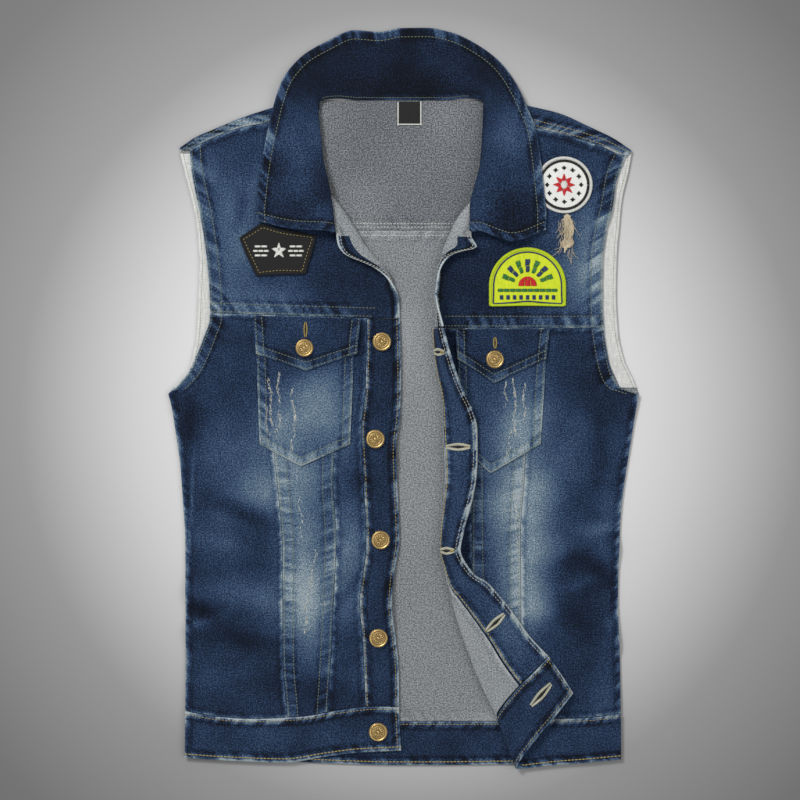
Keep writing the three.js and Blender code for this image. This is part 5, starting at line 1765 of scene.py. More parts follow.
@dataclass
class FrontYoke:
    """A front's yoke, whose inner edge turns out as a lapel."""

    name: str
    side: int
    armhole: Line
    chest: Line
    shoulder: Line
    lapel: Table
    rows: tuple[float, ...]
    seed: int
    pitch: float = 2.4

    def cloth(self) -> Cloth:
        """Draws the yoke's rows from the armhole to the lapel's edge.

        Returns:
            The yoke.
        """
        def lift_at(y: Grid) -> Grid:
            """Gives where the cloth lifts off the front."""
            return rows_at(self.lapel, y, "y")["liftX"]

        on_right = self.side < 0
        sides = (self.armhole, lift_at) if on_right else (lift_at, self.armhole)
        outline = Outline(*sides, self.chest, self.shoulder)
        v = stops(FRONT_YOKE_LENGTH, self.pitch)[:, None]
        u = stops(YOKE_WIDTH, self.pitch)[None]
        x, y = outline.at(*np.broadcast_arrays(u if on_right else u[:, ::-1], v))
        before_x, before_y = outline.at(np.full(v.shape, (6 if on_right else 1) / 7), v)
        body = points_of(x, y, rise_of_fronts(x, y) + DENIM / 2)
        lift = body[:, -1]
        before = points_of(before_x, before_y, rise_of_fronts(before_x, before_y) + DENIM / 2)[:, 0]
        row = rows_at(self.lapel, lift[:, 1], "y")
        turned = np.clip(self.side * (row["edgeX"] - row["rollX"]) / LAPEL_TURN, 0, 1)
        base = rise_of_fronts(row["rollX"], lift[:, 1]) + DENIM / 2
        shift = np.where(np.arange(len(v)) == 0, SEAM_GAP / 2, 0)
        roll = points_of(row["rollX"], lift[:, 1], base + row["rollZ"])
        edge = points_of(row["edgeX"], row["edgeY"] + shift, base + row["edgeZ"])
        share = LAPEL_CREST["share"]
        crest = mix(roll, edge, share)
        over = share + LAPEL_CREST["turned"] * turned
        crest[:, 2] = mix(roll[:, 2], edge[:, 2], over) + LAPEL_CREST["rise"] * turned
        paths = np.stack([before, lift, roll, crest, edge], axis=1)
        turn = catmull(paths, mix(LAPEL_START, 1, stops(LAPEL_WIDTH, ROW_PITCH)[4:]))
        points = np.concatenate([body, turn], axis=1)
        armhole, front = (Edge.LEFT, Edge.RIGHT) if on_right else (Edge.RIGHT, Edge.LEFT)
        hem = Seam(Edge.BOTTOM, self.rows, Thread.PALE, band=11, raised=0.5, rope=0.35, worn=0.2)
        facing = Seam(front, (1.5, 4.2), Thread.ECRU, band=5, rope=0.2, worn=0.3, face=Face.INSIDE)
        return Cloth(
            # The inside takes the paler grey, painted light on the turned-out lapel.
            self.name, points if on_right else points[:, ::-1], DENIM, inside="denim_inside_pale",
            wash=denim_wash_and_painted_light(0.02), seed=self.seed, lifted=(1.0, 0.25),
            facing=(0.9, 1.0, 160.0) if on_right else (0.0, 0.1, 160.0),
            seams=(
                replace(hem, span=(0.0, 0.72) if on_right else (0.28, 1.0)),
                Seam(armhole, (2.2, 11.5), Thread.PALE, band=12, rope=0.35, worn=0.22),
                Seam(Edge.TOP, band=4, worn=0.2, raised=0.0),
                Seam(front, (2.2,), Thread.PALE, band=4, rope=0.4, worn=0.3),
                replace(facing, span=(0.0, 0.46)),
            ),
        )

    def build(self) -> None:
        """Makes the yoke."""
        self.cloth().build(held="folded", rests_on=["back_yoke", "back_panel"])


@dataclass
class TurnedLeftEdge:
    """The left front's edge, which stands up and turns over: inner front, buttonhole strip and band."""

    hole_levels: tuple[float, ...] = (45, -49, -152, -223)

    def paths(self, rows: Table, thickness: float, v: Grid) -> tuple[Grid, Table]:
        """Finds the points that each row passes through, from the free edge to the flat body.

        Args:
            rows: the table of rows.
            thickness: the cloth's thickness.
            v: the shares of the way up from the lowest row.

        Returns:
            The points, and the table read at each row.
        """
        row = rows_at(rows, (len(rows["liftX"]) - 1) * (1 - v))
        edge, seam, roll = (
            points_of(row[f"{name}X"], row[f"{name}Y"], row[f"{name}Z"]) for name in ("edge", "seam", "roll")
        )
        lift, body = (
            points_of(x, row["liftY"], rise_of_fronts(x, row["liftY"]) + thickness / 2)
            for x in (row["liftX"], row["liftX"] + ROW_LEAD)
        )
        strip = edge - seam
        bulge = unit(points_of(-strip[:, 2], 0 * v, np.hypot(strip[:, 0], strip[:, 1])))
        crown = mix(seam, edge, STRIP_CROWN) + STRIP_BULGE * bulge
        return np.stack([edge, crown, seam, roll, lift, body], axis=1), row

    def strip(self) -> Cloth:
        """Builds the buttonhole strip.

        Returns:
            The strip.
        """
        paths, _ = self.paths(TURNED_FRONT, DENIM, stops(TURNED_ROWS * ROW_PITCH, ROW_PITCH))
        points = catmull(paths, stops(STRIP_WIDTH, 2.0) * (SEAM_AT - STRIP_SHARE))
        return Cloth(
            "buttonhole_strip", points, FOLDED_DENIM, inside="denim", plan=False, lifted=(0.2, 1.0), seed=81,
            wash=lambda x, y: 0.08 + 0.6 * fade_and_painted_light(x, y),
            seams=(
                Seam(Edge.LEFT, (1.3, 4.4), Thread.ECRU, band=5, rope=0.45, worn=0.34, face=Face.INSIDE),
                Seam(Edge.RIGHT, (2.0,), band=4, rope=0.4, worn=0.2, face=Face.INSIDE, stitch=HEM_STITCH),
            ),
        )

    def inner_front(self) -> Cloth:
        """Builds the inner front, which rolls over below the ribs and shows its grey side there.

        Returns:
            The inner front.
        """
        paths, _ = self.paths(TURNED_FRONT, DENIM, stops(TURNED_ROWS * ROW_PITCH, ROW_PITCH))
        turn = catmull(paths, mix(SEAM_AT + SEAM_SHARE, LIFT_AT, stops(ROLL_WIDTH, ROW_PITCH)))
        lift = turn[:, -1]
        outer_x = curve(INNER_V_LEFT, "y", "x")(lift[:, 1]) - SEAM_GAP / 2
        x, y = mix(lift[:, 0], outer_x, stops(22, ROW_PITCH)[3:, None]).T, lift[:, 1:2]
        body = points_of(x, y, rise_of_fronts(x, y) + DENIM / 2)
        return Cloth(
            "inner_front_left", np.concatenate([turn, body], axis=1), DENIM,
            # The inside takes the paler grey, painted light on the rolled edge.
            inside="denim_inside_pale", wash=denim_wash_and_painted_light(), lifted=(0.5, 0.6), seed=82,
            seams=(
                Seam(Edge.RIGHT, band=3, worn=0.14, raised=0.0),
                Seam(Edge.LEFT, band=3, worn=0.2), Seam(Edge.TOP, band=3, worn=0.16),
            ),
        )

    def band(self) -> Cloth:
        """Builds the waistband with its turned corner.

        Returns:
            The waistband.
        """
        v = stops(BAND_HEIGHT, ROW_PITCH)
        paths, row = self.paths(TURNED_BAND, FOLDED_DENIM, v)
        turn = catmull(paths, mix(0.0, LIFT_AT, stops(BAND_TURN, ROW_PITCH)))
        hem = curve(HEM_LEFT, "x", "y")
        lift_x, lift_y = row["liftX"][:, None], row["liftY"][:, None]

        def height(x: Grid) -> Grid:
            """Gives the band's level at a place across."""
            return mix(hem(x), band_seam_left(x) - SEAM_GAP, v[:, None])

        u = stops(BAND_LENGTH, 2.3)[None, 3:]
        x = mix(lift_x, float(side_left(BAND_MIDDLE)) - SEAM_GAP / 2, u)
        y = height(x) + (lift_y - height(lift_x)) * (1 - smooth(u * 2))
        body = points_of(x, y, rise_of_fronts(x, y) + FOLDED_DENIM / 2)
        flat, turned = (0.4, 1.0), (0.0, 0.36)
        return Cloth(
            "front_band_left", np.concatenate([turn, body], axis=1), FOLDED_DENIM,
            inside="denim", plan=False, lifted=(0.6, 0.7), wash=0.02, seed=83,
            seams=(
                replace(BAND_TOP, span=flat), replace(BAND_HEM, span=flat),
                replace(BAND_TOP, span=turned, face=Face.INSIDE),
                replace(BAND_HEM, span=turned, face=Face.INSIDE, stitch=TOPSTITCH),
                Seam(Edge.LEFT, (3.2,), band=5, rope=0.4, worn=0.3, face=Face.INSIDE),
            ),
        )

    def build(self) -> None:
        """Makes the turned pieces."""
        strip, band = self.strip(), self.band()
        strip.build(held="folded", rests_on=["inner_front_left"])
        self.inner_front().build(held="folded", rests_on=["back_panel"])
        band.build(held="folded", rests_on=["back_band"])
        holes = Sewing("buttonholes_left")
        for y in self.hole_levels:
            path, up = across_row(strip, y, 0.22, 0.86, Face.INSIDE)
            buttonhole(holes, path, up, Thread.ECRU)
            holes.satin(path[:3] - [1.5, 0, 0], up[:3], Thread.GOLD, 2.6)
        x, y = np.linspace(*BAND_HOLE_X, 30), np.linspace(*BAND_HOLE_Y, 30)
        buttonhole(holes, *band.near(x, y, Face.INSIDE), Thread.ECRU)
        holes.build()


def across_row(cloth: Cloth, y: float, start: float, end: float, face: Face) -> tuple[Grid, Grid]:
    """Takes a stretch of a piece's row, from its left edge.

    Args:
        cloth: the piece.
        y: the row's level at its middle.
        start: the share of the row where the stretch starts.
        end: the share where it ends.
        face: the face that it lies on.

    Returns:
        The stretch's points and normals.
    """
    points, normals = cloth.surface(face)
    row = int(np.argmin(np.abs(points[:, points.shape[1] // 2, 1] - y)))
    cut = slice(round(start * points.shape[1]), round(end * points.shape[1]))
    return points[row, cut], normals[row, cut]


def buttonhole(
    sewing: Sewing, path: Grid, normals: Grid, thread: Thread, width: float = 3.2, eye: float = 1.3
) -> None:
    """Works a buttonhole: two rounded banks of close stitches about an eye of black thread, painted shade in
    the open slit.

    Args:
        sewing: where the stitches go.
        path: the slit's line.
        normals: the cloth's normal along it.
        thread: the thread's colour.
        width: how wide each bank is.
        eye: how far the slit opens to each side.
    """
    slit = Stitch(pitch=0.6, length=2.0, width=0.9, height=0.5, sink=0.0)
    middles, along, up = spaced(path, normals, slit.pitch)
    across = unit(np.cross(up, along))
    bow = np.sin(np.linspace(0.12, math.pi - 0.12, len(middles)))[:, None]
    for bank in (-1, 1):
        banked = middles + across * bank * (0.3 + width * 0.42 * bow**0.5 + 0.4 * eye * bow**3)
        sewing.satin(banked, up, thread, width * 0.8)
        sewing.satin(banked + across * bank * 0.35 * width * bow**0.6 + up * 0.1, up, thread, width * 0.5)
    opened = 0.1 + 2.4 * eye * bow[:, 0] ** 7
    # The open slit is black thread: painted shade.
    sewing.add(middles + up * 0.7, across, up, Thread.BLACK, slit, opened)


@dataclass
class ChestPocket:
    """A chest pocket with its pointed flap, buttonhole and worn lines."""

    side: str
    bag_sizes: Sequence[float]
    top: float
    flap_sizes: Sequence[float]
    chest: Line
    hole: tuple[float, float, float]
    pitch: float = 2.1

    def outline(self, sizes: Sequence[float], head: float, top: Line) -> Outline:
        """Draws a pointed shape that hangs from a line.

        Args:
            sizes: outer and inner x at the head and at the corners, the point's x, then the levels of both.
            head: the head's level.
            top: the line that it hangs from.

        Returns:
            The shape's edges.
        """
        outer_x, inner_x, lower_outer_x, lower_inner_x, point_x, corner, point = sizes
        outer = straight(table("y x", [(head, outer_x), (corner, lower_outer_x)]), "y", "x")
        inner = straight(table("y x", [(head, inner_x), (corner, lower_inner_x)]), "y", "x")
        foot = table("x y", [(lower_outer_x, corner), (point_x, point), (lower_inner_x, corner)])
        left, right = (outer, inner) if outer_x < inner_x else (inner, outer)
        return Outline(left, right, straight(foot, "x", "y"), top)

    def seams(self, worn: float) -> tuple[Seam, ...]:
        """Gives the double stitching on the three free edges.

        Args:
            worn: how rubbed the edges are.

        Returns:
            The seams.
        """
        return tuple(
            Seam(
                edge, (2.0, 8.6), Thread.PALE, band=9.0, raised=0.25, rope=0.4, worn=worn,
                spacing=2.8, slant=0.3,
            )
            for edge in (Edge.LEFT, Edge.RIGHT, Edge.BOTTOM)
        )

    def bag(self) -> Cloth:
        """Builds the pocket's cloth.

        Returns:
            The cloth.
        """
        outline = self.outline(self.bag_sizes, self.top, level(self.top))
        points = outline.grid(lambda x, y: top_of_fronts(x, y) + LAYER_GAP, POCKET_CLOTH, self.pitch)
        return Cloth(
            f"pocket_{self.side}", points, POCKET_CLOTH, self.seams(0.15),
            wash=denim_wash_and_painted_light(0.06), seed=91, crumple=0.25,
        )

    def cover(self) -> Cloth:
        """Builds the flap over the pocket's mouth.

        Returns:
            The flap.
        """
        head = float(self.chest(self.bag_sizes[4])) - FLAP_DROP

        def under(x: Grid, y: Grid) -> Grid:
            """Gives the height that the flap lies at: on the front at its head, on the pocket below."""
            over = POCKET_CLOTH + LAYER_GAP + FLAP_EASE
            return top_of_fronts(x, y) + LAYER_GAP + over * smooth((head - y) / (head - self.top - 1))

        outline = self.outline(self.flap_sizes, head, lambda x: self.chest(x) - FLAP_DROP)
        return Cloth(
            f"flap_{self.side}", outline.grid(under, POCKET_CLOTH, self.pitch), POCKET_CLOTH,
            self.seams(0.2), wash=lambda x, y: 0.5 * fade_and_painted_light(x, y) - 0.02, seed=95, crumple=0.3,
        )

    def build(self) -> None:
        """Makes the pocket and its flap."""
        self.bag().build(rests_on=[f"side_front_{self.side}", f"v_panel_{self.side}"])
        flap = self.cover()
        flap.build(rests_on=[f"pocket_{self.side}"])
        x, top, bottom = self.hole
        y = np.linspace(top, bottom, 16)
        hole = Sewing(f"flap_buttonhole_{self.side}")
        buttonhole(hole, *flap.near(np.full(16, x), y), Thread.GOLD, 1.5, 0.6)
        hole.build()


@dataclass
class Collar:
    """The turned-down collar."""

    @staticmethod
    def wash(x: Grid, y: Grid) -> Grid:
        """Gives the collar's wash: dark round the back, with a ring of painted shade on its stand, and paler
        patches on the leaves.

        Args:
            x: places across.
            y: places along.

        Returns:
            The wash's strength at each place.
        """
        pale = 0.16 * bell(np.hypot(np.abs(x) - 104, y - 262), 26)
        dark = 0.06 * bell(np.hypot(np.abs(x) - 110, y - 190), 20)
        leaves = 0.1 * noise(x, y, 26, 6) - 0.05 + pale - dark
        # A ring of painted shade on the collar's stand at the back of the neck.
        shade = 0.13 * bell(np.abs(np.hypot(x, y - 285) - 20), 26)
        return mix(leaves, 0.06 * noise(x, y, 30, 7) - 0.16 - shade, smooth((y - 286) / 26))

    def cloth(self) -> Cloth:
        """Draws the collar round the neck, from its seam over its roll to its outer edge.

        Returns:
            The collar.
        """
        along = stops(COLLAR_COLUMNS * COLLAR_PITCH, COLLAR_PITCH)
        row = rows_at(COLLAR, (len(COLLAR["fold"]) - 1) * along)
        fold, rise = row["fold"], row["rise"]
        resting = top_of_fronts(row["edgeX"], row["edgeY"]) + COLLAR_EDGE_CLEARANCE
        landed = mix(COLLAR_FLAT_HEIGHT, resting, smooth(fold * COLLAR_LANDING))
        seam = points_of(row["seamX"], row["seamY"], rise)
        roll = points_of(row["rollX"], row["rollY"], rise + COLLAR_ROLL_RISE * fold)
        edge = points_of(row["edgeX"], row["edgeY"], landed)
        open_at, folded_at = COLLAR_CREST_SHARE["open"], COLLAR_CREST_SHARE["folded"]
        crest = mix(roll, edge, mix(open_at, folded_at, fold)[:, None])
        crest[:, 2] = mix(mix(roll[:, 2], edge[:, 2], open_at), rise + COLLAR_CREST_RISE, fold)
        body = mix(roll, edge, COLLAR_BODY["share"])
        body[:, 2] = mix(crest[:, 2], edge[:, 2], COLLAR_BODY["fall"]) + COLLAR_BODY["bulge"] * fold
        body[:, 1] += row["bow"]
        paths = np.stack([seam, roll, crest, body, edge], axis=1)
        end = Seam(Edge.LEFT, (8.4,), Thread.PALE, band=8, rope=0.5, worn=0.2, spacing=2.9)
        neck = Seam(Edge.BOTTOM, (2.4,), Thread.PALE, band=5, worn=0.12, raised=0.0, stitch=FINE_STITCH)
        return Cloth(
            "collar", catmull(paths, stops(COLLAR_WIDTH, ROW_PITCH)).transpose(1, 0, 2), COLLAR_CLOTH,
            inside="denim", plan=False, crumple=0.4, seed=101, rim=0.6, wash=self.wash,
            seams=(
                replace(end, edge=Edge.TOP, rows=(9.0,), band=9), end, replace(end, edge=Edge.RIGHT),
                replace(neck, span=(0.35, 0.65)),
            ),
        )

    def build(self) -> None:
        """Makes the collar."""
        self.cloth().build(held="folded", rests_on=["front_yoke_right", "front_yoke_left", "back_yoke"])


@dataclass
class Buttons:
    """The metal buttons: a rolled rim, a sunk ring and a raised wheel of rays."""

    rings: int = 30
    sides: int = 96
    rays: int = 12

    def profile(self, out: Grid, angle: Grid) -> tuple[Grid, Grid]:
        """Gives a head's relief.

        Args:
            out: shares of the way from its middle to its rim.
            angle: the direction from its middle.

        Returns:
            The relief's height as a share of the button's, and how sunk each place is.
        """
        dome = 1 - 0.16 * out**2
        rim = 0.16 * bell(out - 0.88, 0.075)
        ring = 0.08 * bell(out - 0.62, 0.04)
        wheel = smooth((out - 0.2) / 0.08) * smooth((0.54 - out) / 0.06)
        rays = 0.1 * wheel * smooth((np.cos(angle * self.rays) - 0.1) / 0.5)
        boss = 0.1 * (1 - smooth((out - 0.1) / 0.06))
        raised = rim + ring + rays + boss
        edge = smooth((1 - out) / 0.07)
        return (dome - 0.12 + raised) * mix(0.55, 1.0, edge), np.clip(0.75 - raised * 7, 0, 1) * edge

    def head(self, name: str, x: float, y: float, radius: float, under: float) -> None:
        """Makes one button.

        Args:
            name: its CAD node.
            x: its middle, across.
            y: its middle, along.
            radius: its radius.
            under: the height of its foot.
        """
        turn = np.linspace(0, 2 * math.pi, self.sides, endpoint=False)
        out, angle = np.meshgrid(np.linspace(0.02, 1, self.rings), turn, indexing="ij")
        height, sunk = self.profile(out, angle + 0.3)
        foot = table("out up", [(1.0, 0.42), (0.9, 0.34), (0.6, 0.3), (0.55, 0.0), (0.02, 0.0)])
        size = (len(foot["out"]), self.sides)
        reach = radius * np.concatenate([out, np.broadcast_to(foot["out"][:, None], size)])
        up = BUTTON_HEIGHT * np.concatenate([height, np.broadcast_to(foot["up"][:, None], size)])
        points = points_of(x + reach * np.cos(turn), y + reach * np.sin(turn), under + up)
        number = np.arange(reach.size).reshape(reach.shape)
        beside = np.roll(number, -1, axis=1)
        around = np.stack([number[:-1], number[1:], beside[1:], beside[:-1]], axis=-1)
        faces = around.reshape(-1, 4).tolist() + [number[0].tolist(), number[-1][::-1].tolist()]
        recess = np.concatenate([sunk, np.full(size, 0.8)])
        made = add_mesh(
            name, points.reshape(-1, 3), faces, [finishes["aged_brass"]], attributes={"recess": recess},
        )
        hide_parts(name)

    def build(self) -> None:
        """Makes every button on the foot that the frame gives it."""
        front, pockets = [f"button_{i + 1}" for i in range(5)], ["pocket_button_right", "pocket_button_left"]
        for names, places, radius in (
            (front, BUTTONS, BUTTON_RADIUS), (pockets, POCKET_BUTTONS, POCKET_BUTTON_RADIUS),
        ):
            for name, x, y in zip(names, places["x"], places["y"]):
                self.head(name, x, y, radius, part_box(name)[0].z / METRE)
            log.info("buttons: %d", len(names))


def reach_of(corners: Sequence[tuple[float, float]], middle: tuple[float, float]) -> Callable[[Grid], Grid]:
    """Measures how far a straight-sided outline lies from a middle.

    Args:
        corners: the outline's corners.
        middle: a point within it.

    Returns:
        The distance for each direction.
    """
    def reach(angle: Grid) -> Grid:
        """Gives the distance for a direction.

        Args:
            angle: directions from the middle.

        Returns:
            The distance in each.
        """
        dx, dy, best = np.cos(angle), np.sin(angle), np.full(np.shape(angle), 1e9)
        for (ax, ay), (bx, by) in zip(corners, (*corners[1:], corners[0])):
            ex, ey, fx, fy = bx - ax, by - ay, ax - middle[0], ay - middle[1]
            across = dx * ey - dy * ex
            across = np.where(np.abs(across) < TINY, TINY, across)
            along, share = (fx * ey - fy * ex) / across, (fx * dy - fy * dx) / across
            meets = (along > 0) & (share >= -1e-6) & (share <= 1 + 1e-6)
            best = np.where(meets, np.minimum(along, best), best)
        return best
    return reach


@dataclass
class Patch:
    """A sewn-on patch: its ground cloth, bound rim and embroidered motifs of a plain kind."""

    name: str
    slot: str
    middle: tuple[float, float]
    reach: Callable[[Grid], Grid]
    rim: Thread
    rim_width: float
    across: int = 46

    FILL_PITCH = 0.62
    LONGEST_FILL = 6

    def __post_init__(self) -> None:
        """Lays the ground cloth on the front."""
        s = np.linspace(-1, 1, self.across)
        a, b = np.meshgrid(s, s)
        angle = np.arctan2(b, a)
        out = np.maximum(np.abs(a), np.abs(b)) * self.reach(angle)
        x, y = self.middle[0] + out * np.cos(angle), self.middle[1] + out * np.sin(angle)
        self.cloth = Cloth(
            self.name, points_of(x, y, top_of_fronts(x, y) + 2 * LAYER_GAP + PATCH / 2), PATCH,
            outside=self.slot, inside=self.slot, crumple=0.12, seed=111,
        )
        self.sewing = Sewing(f"{self.name}_embroidery")

    def ring(self, inset: float) -> tuple[Grid, Grid]:
        """Finds a closed line inside the outline.

        Args:
            inset: how far in from the outline.

        Returns:
            The line's points and normals.
        """
        angle = np.linspace(0, 2 * math.pi, 181)
        out = self.reach(angle) - inset
        return self.cloth.near(self.middle[0] + out * np.cos(angle), self.middle[1] + out * np.sin(angle))

    def fill(
        self, corners: Sequence[Spot], thread: Thread, turn: float = 0.0, height: float = 0.9
    ) -> None:
        """Fills a shape with close rows of thread.

        Args:
            corners: the shape's corners, from the patch's middle.
            thread: the thread's colour.
            turn: the rows' direction in degrees.
            height: how proud the thread stands.
        """
        c, s = math.cos(math.radians(turn)), math.sin(math.radians(turn))
        shape = np.array([(x * c + y * s, y * c - x * s) for x, y in corners])
        ends = np.roll(shape, -1, axis=0)
        for v in np.arange(shape[:, 1].min() + 0.3, shape[:, 1].max(), self.FILL_PITCH):
            crossing = (shape[:, 1] > v) != (ends[:, 1] > v)
            a, b = shape[crossing], ends[crossing]
            cuts = np.sort(a[:, 0] + (v - a[:, 1]) / (b[:, 1] - a[:, 1]) * (b[:, 0] - a[:, 0]))
            for start, end in zip(cuts[::2], cuts[1::2]):
                if end - start < 0.5:
                    continue
                count = max(1, round((end - start) / self.LONGEST_FILL))
                u = np.linspace(start, end, count + 1)
                mid, length = (u[1:] + u[:-1]) / 2, (end - start) / count + 0.5
                x, y = self.middle[0] + mid * c - v * s, self.middle[1] + mid * s + v * c
                points, up = self.cloth.near(x, y)
                along = unit(np.cross(np.cross(up, np.array([c, s, 0.0])), up))
                self.sewing.add(points, along, up, thread, Stitch(0.6, length, 0.8, height))

    def build(self) -> None:
        """Makes the patch with its bound rim and its motifs."""
        side = "right" if self.middle[0] < 0 else "left"
        self.cloth.build(self.slot, rests_on=[f"front_yoke_{side}"])
        self.sewing.satin(*self.ring(self.rim_width / 2), self.rim, self.rim_width)
        self.sewing.build()


def polar(out: float, angle: float) -> Spot:
    """Gives the place at a distance and a direction from a middle."""
    return out * math.cos(angle), out * math.sin(angle)


def star(points: int, outer: float, inner: float) -> list[Spot]:
    """Draws a star's corners.

    Args:
        points: how many points it has.
        outer: the radius of its points.
        inner: the radius between them.

    Returns:
        Its corners in order.
    """
    return [
        polar(inner if i % 2 else outer, math.radians(90 + 180 * i / points)) for i in range(2 * points)
    ]


def box_at(x: float, y: float, width: float, height: float) -> list[Spot]:
    """Draws a rectangle's corners about its middle."""
    signs = ((-1, -1), (1, -1), (1, 1), (-1, 1))
    return [(x + a * width / 2, y + b * height / 2) for a, b in signs]


@dataclass
class Patches:
    """The three patches, with motifs of the maker's own: a star, a flower and a rising sun."""

    def pentagon(self) -> Patch:
        """Builds the black patch with a star between bars.

        Returns:
            The patch.
        """
        corners = list(zip(PENTAGON_PATCH["x"], PENTAGON_PATCH["y"]))
        middle = (-124.0, 147.0)
        reach = reach_of(corners, middle)
        patch = Patch("patch_pentagon", "patch_black", middle, reach, Thread.BLACK, 1.6)
        patch.sewing.run(*patch.ring(PATCH_LINE), Thread.GOLD, Stitch(3.4, 2.1, 0.7, 0.7))
        patch.fill(star(5, 8.5, 3.6), Thread.WHITE)
        for x in (-18, 17):
            for y, width in ((4.5, 13), (0, 16), (-4.5, 13)):
                patch.fill(box_at(x, y, width, 1.9), Thread.WHITE)
        return patch

    def round(self) -> Patch:
        """Builds the white patch with a flower in a black ring.

        Returns:
            The patch.
        """
        x, y, radius = ROUND_PATCH
        patch = Patch("patch_round", "patch_white", (x, y), level(radius), Thread.WHITE, 2.6)
        angle = np.linspace(0, 2 * math.pi, 121)
        ring = patch.cloth.near(x + 24.2 * np.cos(angle), y + 24.2 * np.sin(angle))
        patch.sewing.satin(*ring, Thread.BLACK, 3.4)
        patch.fill(star(8, 11.5, 6.2), Thread.RED, 20)
        patch.fill(star(12, 4.2, 3.6), Thread.WHITE, 0, 1.5)
        for i in range(12):
            dot_x, dot_y = polar(17, math.radians(30 * i))
            patch.fill([(dot_x + u, dot_y + v) for u, v in star(4, 2.6, 1.5)], Thread.BLACK, 30 * i)
        return patch

    def dome(self) -> Patch:
        """Builds the lime patch with a sun that rises over bars.

        Returns:
            The patch.
        """
        left, right, bottom, springing = 86, 163, 92, 112
        middle, radius = ((left + right) / 2, springing), (right - left) / 2
        lower = reach_of([(left, springing), (left, bottom), (right, bottom), (right, springing)], middle)

        def reach(angle: Grid) -> Grid:
            """Gives the dome's reach: round above its springing and straight below.

            Args:
                angle: directions from the middle.

            Returns:
                The reach in each.
            """
            wrapped = np.arctan2(np.sin(angle), np.cos(angle))
            above = wrapped >= -1e-6
            return np.where(above, float(radius), lower(np.where(above, -1.0, wrapped)))

        patch = Patch("patch_dome", "patch_lime", middle, reach, Thread.LIME, 3.2)
        patch.sewing.satin(*patch.ring(PATCH_LINE), Thread.NAVY, 1.9)
        for i in range(7):
            turn = 22 + 136 * i / 6
            c, s = polar(1, math.radians(turn))
            trapeze = ((13.5, 1.6), (27, 2.6), (27, -2.6), (13.5, -1.6))
            ray = [(out * c + aside * s, out * s - aside * c) for out, aside in trapeze]
            patch.fill(ray, Thread.NAVY if i % 2 else Thread.GREEN, turn)
        patch.fill([polar(9.5, angle) for angle in np.linspace(0, math.pi, 25)], Thread.RED)
        patch.fill(box_at(0, -4.2, 60, 3.4), Thread.GREEN)
        for i in range(9):
            patch.fill(box_at(-26 + 6.5 * i, -11.5, 3.6, 4.2), Thread.NAVY)
        return patch

    def build(self) -> None:
        """Makes the patches."""
        for patch in (self.pentagon(), self.round(), self.dome()):
            patch.build()


